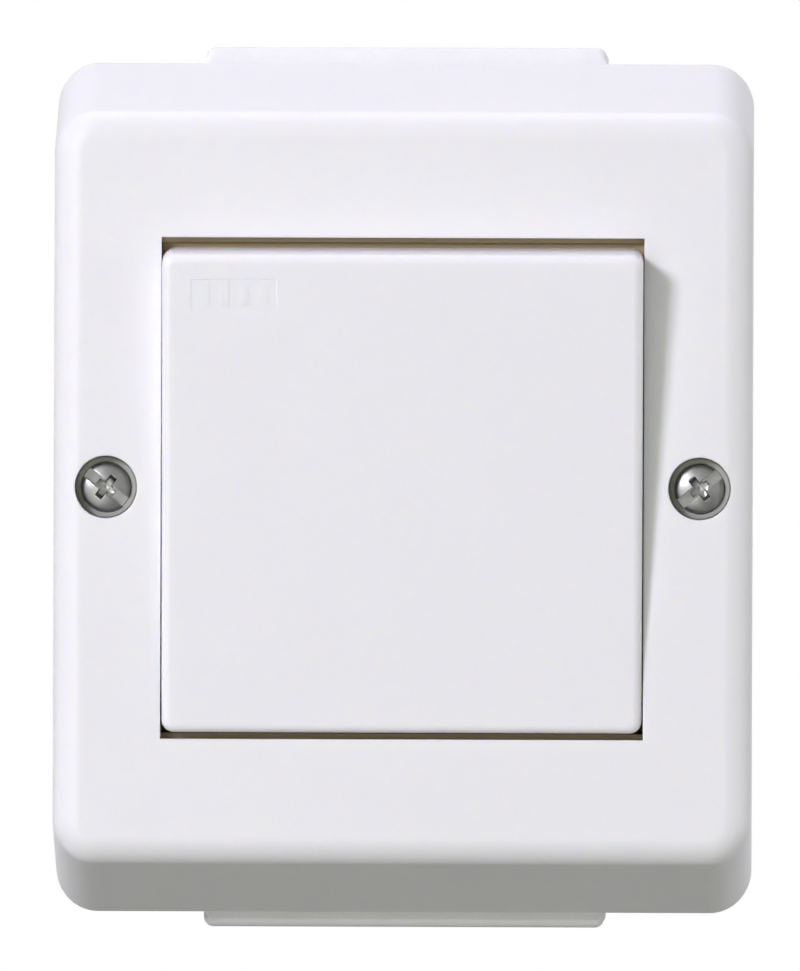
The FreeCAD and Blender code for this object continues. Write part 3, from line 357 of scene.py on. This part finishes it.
def clear_slivers():
    """In edit mode, deletes the loose slivers that a bevel leaves where cuts meet.

    Every piece is closed, so only such a sliver has an open edge.
    """
    bpy.ops.mesh.select_mode(type="EDGE")
    bpy.ops.mesh.select_all(action="DESELECT")
    bpy.ops.mesh.select_non_manifold(
        extend=False, use_wire=True, use_boundary=True, use_multi_face=False,
        use_non_contiguous=False, use_verts=False
    )
    bpy.ops.mesh.delete(type="EDGE")


def near(amount, wanted, slack=2e-6):
    return abs(amount - wanted) < slack


def both(edge, test):
    return all(test(vertex.co) for vertex in edge.verts)


# Finishes


class Link:
    """A varying value in a node tree, so that shader maths reads as an expression."""

    def __init__(self, work, socket):
        self.work = work
        self.socket = socket

    def maths(self, operation, first, second):
        settings = {"operation": operation}
        return self.work.node("ShaderNodeMath", settings, {0: first, 1: second})

    def __add__(self, other):
        return self.maths("ADD", self, other)

    __radd__ = __add__

    def __sub__(self, other):
        return self.maths("SUBTRACT", self, other)

    def __rsub__(self, other):
        return self.maths("SUBTRACT", other, self)

    def __mul__(self, other):
        return self.maths("MULTIPLY", self, other)

    __rmul__ = __mul__

    def larger(self, other):
        return self.maths("MAXIMUM", self, other)


class NodeWork:
    """A node tree and the shader at its end."""

    def __init__(self, owner, shader):
        owner.use_nodes = True
        self.tree = owner.node_tree
        self.shader = self.tree.nodes[shader]

    def feed(self, socket, amount):
        if isinstance(amount, Link):
            self.tree.links.new(amount.socket, socket)
        else:
            socket.default_value = amount

    def node(self, kind, settings=None, sockets=None, output=0):
        """Adds a node: its settings first, then values or links for its sockets."""
        made = self.tree.nodes.new(kind)
        for name, amount in (settings or {}).items():
            if name == "stops":
                for stop, (position, level) in zip(made.color_ramp.elements, amount):
                    stop.position, stop.color = position, (level, level, level, 1)
            else:
                setattr(made, name, amount)
        for name, amount in (sockets or {}).items():
            self.feed(made.inputs[name], amount)
        return Link(self, made.outputs[output])

    def paint(self, socket, amount):
        self.feed(self.shader.inputs[socket], amount)

    def blend(self, amount, first, second):
        """A colour between two others."""
        settings = {"data_type": "RGBA"}
        sockets = {0: amount, 6: (*first, 1), 7: (*second, 1)}
        return self.node("ShaderNodeMix", settings, sockets, output=2)

    def shown(self):
        """1 where the camera, a reflection or a clear piece shows it, and 0 for its light."""
        kinds = ("Camera", "Glossy", "Transmission")
        rays = [self.node("ShaderNodeLightPath", output=f"Is {kind} Ray") for kind in kinds]
        return rays[0].larger(rays[1]).larger(rays[2])


class Finish(NodeWork):
    """One material: a Principled shader and the nodes in front of it."""

    def __init__(self, name, **constants):
        self.material = bpy.data.materials.new(own_name(name))
        super().__init__(self.material, "Principled BSDF")
        self.place = self.node("ShaderNodeTexCoord", output="Object")
        for socket, amount in constants.items():
            self.paint(socket.replace("_", " "), amount)

    def noise(self, size, detail=3, roughness=0.5, stretch=(1, 1, 1)):
        """Soft irregular spots of about a size in metres, from 0 to 1."""
        place = self.node("ShaderNodeMapping", None, {"Vector": self.place, "Scale": stretch})
        sockets = {"Vector": place, "Scale": 1 / size, "Detail": detail, "Roughness": roughness}
        return self.node("ShaderNodeTexNoise", None, sockets)

    def ramp(self, amount, low, high):
        """Spreads the part of a pattern from low to high over 0 to 1."""
        settings = {"stops": ((low, 0), (high, 1))}
        return self.node("ShaderNodeValToRGB", settings, {"Fac": amount})

    def relief(self, height, depth, strength=1.0):
        """Raises the surface by a pattern, depth metres from its 0 to its 1."""
        sockets = {"Height": height, "Distance": depth, "Strength": strength}
        self.paint("Normal", self.node("ShaderNodeBump", None, sockets))


def own_name(finish):
    """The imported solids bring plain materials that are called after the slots."""
    return f"{finish}_finish"


def shade(tone, factor):
    return tuple(min(part * factor, 1) for part in tone)


def moulded_plastic(name, tone, roughness=0.45, grain=0.000006, depth=0.0):
    """Injection-moulded plastic: fine spark-eroded grain, faint flow clouds, satin gloss.

    Where a depth is given in metres, light goes that far into it.
    """
    finish = Finish(name, IOR=1.5)
    if depth:
        finish.paint("Subsurface Weight", 1.0)
        finish.paint("Subsurface Radius", (1, 0.9, 0.75))
        finish.paint("Subsurface Scale", depth)
    clouds = finish.noise(0.012, detail=2)
    finish.paint("Base Color", finish.blend(clouds, shade(tone, 0.985), shade(tone, 1.012)))
    finish.paint("Roughness", roughness + 0.08 * finish.noise(0.004))
    finish.relief(finish.noise(0.00035, detail=2), grain)
    return finish.material


def rubber(name, tone, roughness=0.72):
    """Moulded rubber: dull, with a little bloom and a fine uneven skin."""
    finish = Finish(name, IOR=1.5)
    bloom = finish.ramp(finish.noise(0.003, detail=5, roughness=0.65), 0.35, 0.75)
    finish.paint("Base Color", finish.blend(bloom, shade(tone, 0.97), shade(tone, 1.02)))
    finish.paint("Roughness", roughness + 0.1 * bloom)
    finish.relief(finish.noise(0.0004, detail=3), 0.000005)
    return finish.material


def plated_metal(name, tone, roughness=0.22, streaks=(1, 1, 1)):
    """Bright plated or drawn metal with faint streaks, spots and handling marks."""
    finish = Finish(name, Metallic=1.0)
    spots = finish.ramp(finish.noise(0.0008, detail=4, roughness=0.6), 0.35, 0.7)
    finish.paint("Base Color", finish.blend(spots, shade(tone, 0.82), tone))
    finish.paint("Roughness", roughness + 0.14 * finish.noise(0.0005, stretch=streaks))
    finish.relief(finish.noise(0.00025, detail=4, stretch=streaks), 0.000004)
    return finish.material


def make_finishes(colours):
    return {
        "enclosure_plastic": moulded_plastic("enclosure_plastic", colours.enclosure, depth=0.0006),
        "rocker_plastic": moulded_plastic("rocker_plastic", colours.rocker, grain=0.000004, depth=0.0006),
        "entry_rubber": rubber("entry_rubber", colours.entry, 0.6),
        "gasket_rubber": rubber("gasket_rubber", colours.gasket),
        # Painted shade: this rubber is kept darker than the real seal, to stand for the shade in the gaps beside
        # the rocker.
        "diaphragm_rubber": rubber("diaphragm_rubber", colours.diaphragm_and_gap_shade),
        # Painted shade: the dark base stands for the dark surroundings seen in the screw heads, and the lamps add
        # the highlights.
        "bright_steel": plated_metal("bright_steel", colours.bright_steel, 0.3),
        "plated_steel": plated_metal("plated_steel", colours.plated_steel, 0.28, (1, 1, 0.2)),
        "brass": plated_metal("brass", colours.brass, 0.24, (0.2, 1, 1)),
        "mechanism_plastic": moulded_plastic("mechanism_plastic", colours.mechanism, 0.45),
        "cradle_plastic": moulded_plastic("cradle_plastic", colours.cradle, 0.4),
        "plunger_plastic": moulded_plastic("plunger_plastic", colours.plunger, 0.4),
        "contact_silver": plated_metal("contact_silver", colours.contact, 0.2),
    }


NODE_FINISHES = {
    "enclosure_plastic": ["base_box", "cover"],
    "rocker_plastic": ["rocker"],
    "entry_rubber": ["cable_entry_top", "cable_entry_bottom"],
    "gasket_rubber": ["base_seal", "cover_screw_seals"],
    "diaphragm_rubber": ["rocker_seal"],
    "bright_steel": ["cover_screws"],
    "plated_steel": [
        "support_frame",
        "frame_screws",
        "frame_rivets",
        "terminal_screws",
        "terminal_clamps",
        "earth_terminal_screw",
        "plunger_spring",
    ],
    "brass": [
        "thread_inserts",
        "common_terminal",
        "fixed_contact_upper",
        "fixed_contact_lower",
        "moving_contact",
        "earth_terminal",
    ],
    "mechanism_plastic": ["insert_body", "insert_base"],
    "cradle_plastic": ["cradle"],
    "plunger_plastic": ["plunger"],
    "contact_silver": ["fixed_contact_tips", "moving_contact_tips"],
}


def wear(piece, finish):
    """Gives a new piece one of the finishes."""
    piece.data.materials.clear()
    piece.data.materials.append(bpy.data.materials[own_name(finish)])
    return piece


# Operators


class SWITCH_OT_finishes(bpy.types.Operator):
    """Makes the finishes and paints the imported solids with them"""

    bl_idname = "weather_switch.finishes"
    bl_label = "Finishes"

    def execute(self, context):
        finishes = make_finishes(context.scene.switch_colours)
        for finish, names in NODE_FINISHES.items():
            for name in names:
                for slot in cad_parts[name].material_slots:
                    slot.material = finishes[finish]
        return {"FINISHED"}


class SWITCH_OT_stage(bpy.types.Operator):
    """Sets up the camera, the floor, the lights and the white surroundings"""

    bl_idname = "weather_switch.stage"
    bl_label = "Stage"

    def execute(self, context):
        stage = context.scene.switch_stage
        set_camera(stage)
        set_floor(stage)
        set_lights(stage)
        set_surround(stage)
        context.scene.view_settings.view_transform = "Standard"
        return {"FINISHED"}


def set_camera(stage):
    target = Vector((stage.aim_across, COVER_LOW.y, stage.aim_up))
    back = Vector((math.sin(stage.azimuth), -math.cos(stage.azimuth), 0))
    bpy.ops.object.camera_add(location=target + back * stage.distance)
    camera = bpy.context.object
    turn = (-back).to_track_quat("-Z", "Y").to_matrix().to_4x4()
    camera.matrix_world = (
        Matrix.Translation(target + back * stage.distance)
        @ turn
        @ Matrix.Rotation(stage.roll, 4, "Z")
    )
    camera.data.lens = stage.lens
    camera.data.sensor_width = 36
    camera.data.clip_end = 100
    bpy.context.scene.camera = camera


def set_floor(stage):
    """A plain floor that looks pale and throws only a little light back up."""
    place = (0, 0, stage.floor_level)
    floor = start("floor", bpy.ops.mesh.primitive_plane_add, size=6, location=place)
    finish = Finish("floor_paper", Roughness=0.9, Emission_Strength=1)
    camera = finish.node("ShaderNodeLightPath", output="Is Camera Ray")
    finish.paint("Emission Color", finish.blend(camera, (0, 0, 0), tuple(stage.floor_glow)))
    dull = tuple(stage.floor_bounce)
    finish.paint("Base Color", finish.blend(finish.shown(), dull, (0.8, 0.8, 0.8)))
    finish.relief(finish.noise(0.002), 0.00002)
    floor.data.materials.append(finish.material)


def softbox(name, towards, distance, size, power, tone):
    """A square lamp that faces the switch from a direction."""
    aim = Vector((0, COVER_LOW.y, 0))
    back = Vector(towards).normalized()
    bpy.ops.object.light_add(type="AREA", location=aim + back * distance)
    lamp = bpy.context.object
    lamp.name = name
    lamp.rotation_euler = back.to_track_quat("Z", "Y").to_euler()
    lamp.data.shape = "SQUARE"
    lamp.data.size = size
    lamp.data.energy = power
    lamp.data.color = tone


def set_lights(stage):
    tone = stage.lamp_tone
    softbox("key", (-0.68, -1, 0.4), 1.6, 0.34, stage.key, tone)
    softbox("top", (0, 0.3, 1), 1.8, 1.2, stage.top, tone)
    softbox("right", (1, 0.15, 0.1), 1.8, 1.0, stage.right, tone)
    softbox("fill", (1, -0.6, 0.1), 1.8, 1.0, stage.fill, stage.fill_tone)
    softbox("low", (-0.3, -1, -0.3), 1.8, 0.8, stage.low, stage.fill_tone)
    softbox("left", (-1, -0.1, 0.2), 1.8, 1.0, stage.left, tone)


def set_surround(stage):
    """White where it is seen, and dimmer as light on the switch."""
    world = bpy.data.worlds.new("surround")
    bpy.context.scene.world = world
    sky = NodeWork(world, "Background")
    seen = sky.shown()
    sky.paint("Color", sky.blend(seen, stage.fill_tone, (1, 1, 1)))
    sky.paint("Strength", seen + stage.surround * (1 - seen))


class SWITCH_OT_cover(bpy.types.Operator):
    """Models the cover with its window, collar, wells and screw tubes"""

    bl_idname = "weather_switch.cover"
    bl_label = "Cover"

    def execute(self, context):
        sizes = context.scene.switch_cover
        cover = cover_shell("cover_shell", sizes, 0)
        hollow = cover_shell("cover_hollow", sizes, sizes.wall)
        cut(cover, hollow)
        across = sizes.window_width / 2 + sizes.collar_wall
        up = sizes.window_bottom + sizes.collar_wall
        inside = COVER_LOW.y + sizes.wall / 2
        collar = block("collar", (-across, inside, -up), (across, -sizes.collar_end, up))
        tubes = [
            rod("tube", sizes.tube, inside, COVER_HIGH.y, across=side * SCREW_ACROSS)
            for side in (-1, 1)
        ]
        add(cover, collar, *tubes)
        across = sizes.window_width / 2
        low = (OFF_CENTRE - across, -0.05, -sizes.window_bottom)
        cut(cover, block("window", low, (OFF_CENTRE + across, -0.02, sizes.window_top)))
        proud, seat = 0.0005, -sizes.well_seat
        flare = sizes.well + (sizes.well - sizes.well_end) * proud / (seat - COVER_LOW.y)
        for across in (-SCREW_ACROSS, SCREW_ACROSS):
            cut(
                cover,
                rod("well", flare, COVER_LOW.y - proud, seat, across, tip=sizes.well_end),
                rod("seat", sizes.well, seat - 0.00002, -sizes.well_floor, across),
                rod("hole", sizes.hole, -0.05, -0.02, across),
            )
        round_off(cover, sizes.rim, 3, lambda edge: on_rim(edge, sizes))
        smooth(cover)
        wear(cover, "enclosure_plastic")
        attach(cover, "enclosure")
        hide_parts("cover")
        return {"FINISHED"}


def cover_shell(name, sizes, wall):
    """The cover's leaning block, or the hollow inside it where wall is its thickness."""
    depth = COVER_HIGH.y - COVER_LOW.y
    inset = wall * math.hypot(depth, sizes.lean) / depth
    across, rim = COVER_HIGH.x - wall, COVER_HIGH.z - inset
    front, back = COVER_LOW.y + wall, COVER_HIGH.y + (0.001 if wall else 0)
    piece = block(name, (-across, front, -rim), (across, back, rim))
    lean = sizes.lean / depth * (back - front)
    edit(piece)
    choose("FACE", lambda face: face.normal.y < -0.9)
    bpy.ops.transform.resize(value=(1, 1, (rim - lean) / rim))
    leave()
    if wall:
        bring_back(piece, rim, lean, back - front)
    corner = max(sizes.corner - wall, 0.0006)
    round_off(piece, corner, 20, lambda edge: near(abs(edge.verts[0].co.x), across) and along_depth(edge))
    if not wall:
        round_front(piece, sizes.edge, front)
    return piece


def bring_back(piece, rim, lean, depth):
    """Widens the rear end a little, so that the hollow's slope is the wall's own."""
    edit(piece)
    choose("FACE", lambda face: face.normal.y > 0.9)
    bpy.ops.transform.resize(value=(1, 1, (rim + lean / depth * 0.001) / rim))
    leave()


def along_depth(edge):
    first, second = (vertex.co for vertex in edge.verts)
    return abs(first.y - second.y) > 0.004


def round_front(piece, radius, front):
    """Rounds the loop around the front face to one radius, whatever the angle of the side."""
    edit(piece)
    mesh = bmesh.from_edit_mesh(piece.data)
    weights = mesh.edges.layers.float.new("bevel_weight_edge")
    for edge in mesh.edges:
        if both(edge, lambda place: near(place.y, front)):
            turn = edge.calc_face_angle()
            edge[weights] = math.tan(turn / 2)
    bmesh.update_edit_mesh(piece.data)
    leave()
    apply(piece, "BEVEL", limit_method="WEIGHT", width=radius, segments=10, use_clamp_overlap=False)


def on_rim(edge, sizes):
    """Tells the front rims of the window and of the two wells."""
    if not both(edge, lambda place: near(place.y, COVER_LOW.y)):
        return False
    across, up = sizes.window_width / 2 + 1e-5, sizes.window_bottom + 1e-5
    inside = both(edge, lambda place: abs(place.x) < across and abs(place.z) < up)
    round_well = both(
        edge,
        lambda place: near(math.hypot(abs(place.x) - SCREW_ACROSS, place.z), sizes.well, 2e-5),
    )
    return inside or round_well


class SWITCH_OT_rocker(bpy.types.Operator):
    """Models the rocker with its skirt, ribs, pegs and the recess in its corner"""

    bl_idname = "weather_switch.rocker"
    bl_label = "Rocker"

    def execute(self, context):
        sizes = context.scene.switch_rocker
        across, up = sizes.width / 2, sizes.height / 2
        front, back = -sizes.reach, sizes.skirt - sizes.reach
        rocker = block("rocker_plate", (-across, front, -up), (across, back, up))
        edit(rocker)
        choose("FACE", lambda face: face.normal.y > 0.9)
        bpy.ops.transform.resize(value=((across + sizes.draft) / across, 1, 1))
        leave()
        round_off(rocker, sizes.corner, 10, along_depth)
        round_off(rocker, sizes.edge, 8, lambda edge: both(edge, lambda place: near(place.y, front)))
        inner, under = up - sizes.wall, front + sizes.plate
        cut(rocker, block("hollow", (-inner, under, -inner), (inner, 0.02, inner)))
        for side in (-1, 1):
            up = side * 0.014
            rib = block("rib", (-inner - 0.0004, under - 0.0003, up - 0.0006),
                        (inner + 0.0004, under + 0.0012, up + 0.0006))
            add(rocker, rib, rod("peg", 0.0019, under - 0.0003, under + 0.0032, across=side * 0.007))
        cut_mark(rocker, sizes, front)
        smooth(rocker)
        tilt = Matrix.Translation(PIVOT) @ Matrix.Rotation(sizes.tilt, 4, "X")
        place_at(rocker, tilt @ Matrix.Translation((OFF_CENTRE, 0, -0.00005)))
        wear(rocker, "rocker_plastic")
        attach(rocker, "rocker_unit")
        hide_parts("rocker")
        return {"FINISHED"}


def cut_mark(rocker, sizes, front):
    """Sinks a small panel into the upper left corner and leaves four bars standing in it."""
    middle = Vector((0.0073 - sizes.width / 2, front, sizes.height / 2 - 0.00415))
    reach = Vector((sizes.mark_width / 2, sizes.mark_depth, sizes.mark_height / 2))
    panel = block("panel", middle - reach, middle + reach)
    edit(panel)
    choose("FACE", lambda face: face.normal.y > 0.9)
    bpy.ops.transform.resize(value=(0.985, 1, 0.97))
    leave()
    cut(rocker, panel)
    for step in (-1.5, -0.5, 0.5, 1.5):
        place = middle + Vector((step * sizes.mark_width / 4.5, 0, 0))
        bar = block("bar", place - Vector((0.00045, 0, 0.00095)), place + Vector((0.00045, 0.0004, 0.00095)))
        add(rocker, bar)


class SWITCH_OT_cable_entries(bpy.types.Operator):
    """Models the upper cable entry with its membranes, and copies it to the lower end"""

    bl_idname = "weather_switch.cable_entries"
    bl_label = "Cable entries"

    def execute(self, context):
        sizes = context.scene.switch_entry
        low, high = (-sizes.half, -sizes.front, sizes.foot), (sizes.half, -sizes.back, sizes.top)
        entry = block("cable_entry_upper", low, high)
        round_off(entry, sizes.corner, 8, lambda edge: along_depth(edge) and edge.verts[0].co.z > sizes.top - 1e-5)
        round_off(entry, sizes.edge, 5, lambda edge: all(
            vertex.co.z > sizes.top - sizes.corner - 1e-5 and near(vertex.co.y, -sizes.front)
            for vertex in edge.verts
        ))
        add(
            entry,
            neck(sizes, 0, sizes.foot + 0.0003),
            neck(sizes, sizes.lip, sizes.inside + sizes.lip),
        )
        middle = -sizes.neck_middle
        for across in (-sizes.shift, sizes.shift):
            ring = upright("ring", sizes.membrane * 2 / 3, sizes.top - sizes.groove, 0.05, across, middle)
            cut(ring, upright("core", sizes.membrane * 2 / 3 - sizes.groove, 0.04, 0.06, across, middle))
            cup = upright("cup", sizes.membrane, 0.03, sizes.top - sizes.sheet, across, middle)
            cut(entry, cup, ring)
        smooth(entry)
        only(entry)
        bpy.ops.object.duplicate(linked=False)
        twin = bpy.context.object
        twin.name = twin.data.name = "cable_entry_lower"
        place_at(twin, Matrix.Translation((0, 0, 0.00014)) @ Matrix.Rotation(math.pi, 4, "Y"))
        for piece, node in ((entry, "cable_entry_top"), (twin, "cable_entry_bottom")):
            wear(piece, "entry_rubber")
            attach(piece, "enclosure")
            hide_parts(node)
        return {"FINISHED"}


def neck(sizes, reach, high):
    """The part in the box's opening, or with a reach the lip behind it."""
    across, depth = sizes.neck_half + reach, sizes.neck_depth + reach
    low = (-across, -sizes.neck_middle - depth, sizes.inside)
    piece = block("neck", low, (across, depth - sizes.neck_middle, high))
    round_off(piece, 0.0029 + reach, 8, upward)
    return piece


def upward(edge):
    first, second = (vertex.co for vertex in edge.verts)
    return abs(first.z - second.z) > 0.001


def upright(name, radius, low, high, across, depth):
    """A round bar along Z."""
    return start(
        name,
        bpy.ops.mesh.primitive_cylinder_add,
        vertices=64,
        radius=radius,
        depth=high - low,
        location=(across, depth, (low + high) / 2),
    )


class SWITCH_OT_rocker_lips(bpy.types.Operator):
    """Models the soft lips that close the gaps above and below the rocker, in a rubber darkened as painted shade
    for those gaps
    """

    bl_idname = "weather_switch.rocker_lips"
    bl_label = "Rocker lips"

    def execute(self, context):
        cover, sizes = context.scene.switch_cover, context.scene.switch_lips
        across = cover.window_width / 2 - 0.00003
        ends = (
            ("lip_upper", cover.window_top, -sizes.upper),
            ("lip_lower", -cover.window_bottom, -sizes.lower),
        )
        for name, outer, front in ends:
            inner = math.copysign(sizes.lip_inner, outer)
            low, high = sorted((inner, outer))
            low, high = (OFF_CENTRE - across, front, low), (OFF_CENTRE + across, -cover.collar_end, high)
            lip = block(name, low, high)
            round_off(
                lip,
                0.00015,
                4,
                lambda edge: both(edge, lambda place: near(place.y, front) and near(place.z, inner)),
            )
            smooth(lip)
            # The lips' dark tone is partly real rubber and partly painted shade for the gaps beside the rocker.
            wear(lip, "diaphragm_rubber")
            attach(lip, "enclosure")
        rocker = context.scene.switch_rocker
        across, back = rocker.width / 2 + 0.00007, rocker.skirt - rocker.reach - 0.00002
        boot = block("boot", (-across, sizes.boot_front, -sizes.boot), (across, back, sizes.boot))
        edit(boot)
        choose("FACE", lambda face: face.normal.y > 0.9)
        bpy.ops.transform.resize(value=(1, 1, 0.99))
        leave()
        inner = rocker.height / 2 - rocker.wall / 2
        cut(boot, block("bore", (-inner, -0.01, -inner), (inner, 0.01, inner)))
        smooth(boot)
        place_at(boot, Matrix.Translation(PIVOT) @ Matrix.Rotation(rocker.tilt, 4, "X"))
        # The boot wears the same rubber, darkened as painted shade.
        wear(boot, "diaphragm_rubber")
        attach(boot, "rocker_unit")
        return {"FINISHED"}


class SWITCH_OT_cover_screws(bpy.types.Operator):
    """Models one cover screw with slot and cross, and copies it to the other side"""

    bl_idname = "weather_switch.cover_screws"
    bl_label = "Cover screws"

    def execute(self, context):
        sizes = context.scene.switch_screw
        top = -sizes.height
        screw = turned("cover_screw_right", screw_outline(sizes), 96)
        half, width = sizes.cross_span / 2, sizes.cross_width / 2
        slot = sizes.slot_width / 2
        floor = top + sizes.slot_depth
        dish = rod("dish", sizes.dish, floor - 0.00001, floor + sizes.dish_depth, sides=48, tip=0.00003)
        cut(
            screw,
            block("slot", (-0.004, top - 0.001, -slot), (0.004, floor, slot)),
            dish,
            tapered("arm", (half, width), top, sizes.cross_depth),
            tapered("arm", (width, half), top, sizes.cross_depth),
        )
        apply(screw, "BEVEL", limit_method="ANGLE", angle_limit=math.radians(25), width=0.00007,
              segments=3, harden_normals=False)
        smooth(screw, 50)
        only(screw)
        bpy.ops.object.duplicate(linked=False)
        twin = bpy.context.object
        twin.name = twin.data.name = "cover_screw_left"
        for piece, side in ((screw, 1), (twin, -1)):
            place = Matrix.Translation((side * SCREW_ACROSS, -sizes.seat, 0))
            place_at(piece, place @ Matrix.Rotation(-side * sizes.turn, 4, "Y"))
            # The heads' steel is darkened as painted shade for the surroundings they reflect.
            wear(piece, "bright_steel")
            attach(piece, "enclosure")
            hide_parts("cover_screws")
        seal = turned("cover_screw_seal_right", seal_outline(sizes), 64)
        smooth(seal)
        only(seal)
        bpy.ops.object.duplicate(linked=False)
        twin = bpy.context.object
        twin.name = twin.data.name = "cover_screw_seal_left"
        for piece, side in ((seal, 1), (twin, -1)):
            place_at(piece, Matrix.Translation((side * SCREW_ACROSS, -sizes.seat, 0)))
            wear(piece, "gasket_rubber")
            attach(piece, "enclosure")
            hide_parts("cover_screw_seals")
        return {"FINISHED"}


def seal_outline(sizes):
    """The closed half section of the cup-shaped seal around the head, as (radius, y)."""
    inner, outer, rim, under = sizes.head + 0.00003, sizes.seal, -sizes.seal_rise, 0.0008
    return [
        (0.0017, under),
        (0.0017, 0.00002),
        (inner, 0.00002),
        (inner, rim + 0.0001),
        (inner + 0.0001, rim),
        (outer - 0.00012, rim),
        (outer, rim + 0.00012),
        (outer, under),
        (0.0017, under),
    ]


def screw_outline(sizes):
    """The screw's half section as (radius, y): crown, rounded edge, side, shank and tip."""
    top, inner = -sizes.height, sizes.head - sizes.edge
    turn = math.asin(inner / (sizes.crown - sizes.edge))
    level = top + sizes.crown - (sizes.crown - sizes.edge) * math.cos(turn)
    points = []
    for step in range(13):
        lean = turn * step / 12
        points.append((sizes.crown * math.sin(lean), top + sizes.crown * (1 - math.cos(lean))))
    for step in range(1, 7):
        lean = turn + (math.pi / 2 - turn) * step / 6
        points.append((inner + sizes.edge * math.sin(lean), level - sizes.edge * math.cos(lean)))
    tip = sizes.shank_length
    points += [(sizes.head, 0), (sizes.shank, 0), (sizes.shank, tip - 0.0004)]
    return [*points, (sizes.shank - 0.0004, tip), (0, tip)]


def turned(name, outline, steps):
    """Turns an outline of (radius, y) points about the Y axis, as on a lathe."""
    piece = start(name, bpy.ops.mesh.primitive_plane_add, size=0.001)
    edit(piece)
    bpy.ops.mesh.select_mode(type="VERT")
    bpy.ops.mesh.select_all(action="SELECT")
    bpy.ops.mesh.merge(type="CENTER")
    at = Vector((0, 0, 0))
    for number, (radius, level) in enumerate(outline):
        move = Vector((radius, level, 0)) - at
        if number:
            bpy.ops.mesh.extrude_region_move(TRANSFORM_OT_translate={"value": move})
        else:
            bpy.ops.transform.translate(value=move)
        at += move
    bpy.ops.mesh.select_all(action="SELECT")
    bpy.ops.mesh.spin(steps=steps, angle=2 * math.pi, center=(0, 0, 0), axis=(0, 1, 0))
    bpy.ops.mesh.select_all(action="SELECT")
    bpy.ops.mesh.remove_doubles(threshold=1e-6)
    bpy.ops.mesh.normals_make_consistent(inside=False)
    leave()
    return piece


def tapered(name, half, top, depth):
    """A cutter that narrows towards its rear end."""
    across, up = half
    piece = block(name, (-across, top - 0.0005, -up), (across, top + depth, up))
    edit(piece)
    choose("FACE", lambda face: face.normal.y > 0.9)
    bpy.ops.transform.resize(value=(0.62, 1, 0.62))
    leave()
    return piece


class SWITCH_OT_plunger_spring(bpy.types.Operator):
    """Models the spring behind the plunger, which shortens as the plunger slides in"""

    bl_idname = "weather_switch.plunger_spring"
    bl_label = "Plunger spring"

    def execute(self, context):
        sizes = context.scene.switch_spring
        coil = start(
            "plunger_coil",
            bpy.ops.mesh.primitive_circle_add,
            vertices=10,
            radius=sizes.wire,
            location=(sizes.coil, sizes.begin, 0),
        )
        apply(
            coil,
            "SCREW",
            axis="Y",
            screw_offset=sizes.rise / sizes.turns,
            iterations=sizes.turns,
            steps=32,
        )
        edit(coil)
        bpy.ops.mesh.select_all(action="SELECT")
        bpy.ops.mesh.fill_holes(sides=0)
        leave()
        smooth(coil, 60)
        turn = Matrix.Rotation(context.scene.switch_rocker.tilt, 4, "X")
        place_at(coil, Matrix.Translation(PIVOT) @ turn)
        wear(coil, "plated_steel")
        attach(coil, "rocker_unit")
        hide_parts("plunger_spring")
        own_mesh(coil)
        return {"FINISHED"}


class SWITCH_PT_tools(bpy.types.Panel):
    """Lists the steps and what can be set"""

    bl_label = "Weatherproof switch"
    bl_space_type = "VIEW_3D"
    bl_region_type = "UI"
    bl_category = "Switch"

    def draw(self, context):
        scene = context.scene
        for step in STEPS:
            self.layout.operator(step.bl_idname)
        for group in GROUPS:
            box = self.layout.box()
            for name in GROUPS[group].__annotations__:
                box.prop(getattr(scene, group), name)


STEPS = [
    SWITCH_OT_finishes,
    SWITCH_OT_stage,
    SWITCH_OT_cover,
    SWITCH_OT_rocker,
    SWITCH_OT_rocker_lips,
    SWITCH_OT_cable_entries,
    SWITCH_OT_cover_screws,
    SWITCH_OT_plunger_spring,
]
GROUPS = {
    "switch_cover": CoverSizes,
    "switch_rocker": RockerSizes,
    "switch_lips": LipSizes,
    "switch_screw": ScrewSizes,
    "switch_entry": EntrySizes,
    "switch_spring": SpringSizes,
    "switch_colours": FinishColours,
    "switch_stage": StageSettings,
}


def register():
    for part in [*GROUPS.values(), *STEPS, SWITCH_PT_tools]:
        bpy.utils.register_class(part)
    for group, kind in GROUPS.items():
        setattr(bpy.types.Scene, group, bpy.props.PointerProperty(type=kind))


def unregister():
    for group in GROUPS:
        delattr(bpy.types.Scene, group)
    for part in [SWITCH_PT_tools, *reversed(STEPS), *GROUPS.values()]:
        bpy.utils.unregister_class(part)


def main():
    register()
    bpy.ops.weather_switch.finishes()
    bpy.ops.weather_switch.stage()
    bpy.ops.weather_switch.cover()
    bpy.ops.weather_switch.rocker()
    bpy.ops.weather_switch.rocker_lips()
    bpy.ops.weather_switch.cover_screws()
    bpy.ops.weather_switch.cable_entries()
    bpy.ops.weather_switch.plunger_spring()


if __name__ == "__main__":
    main()
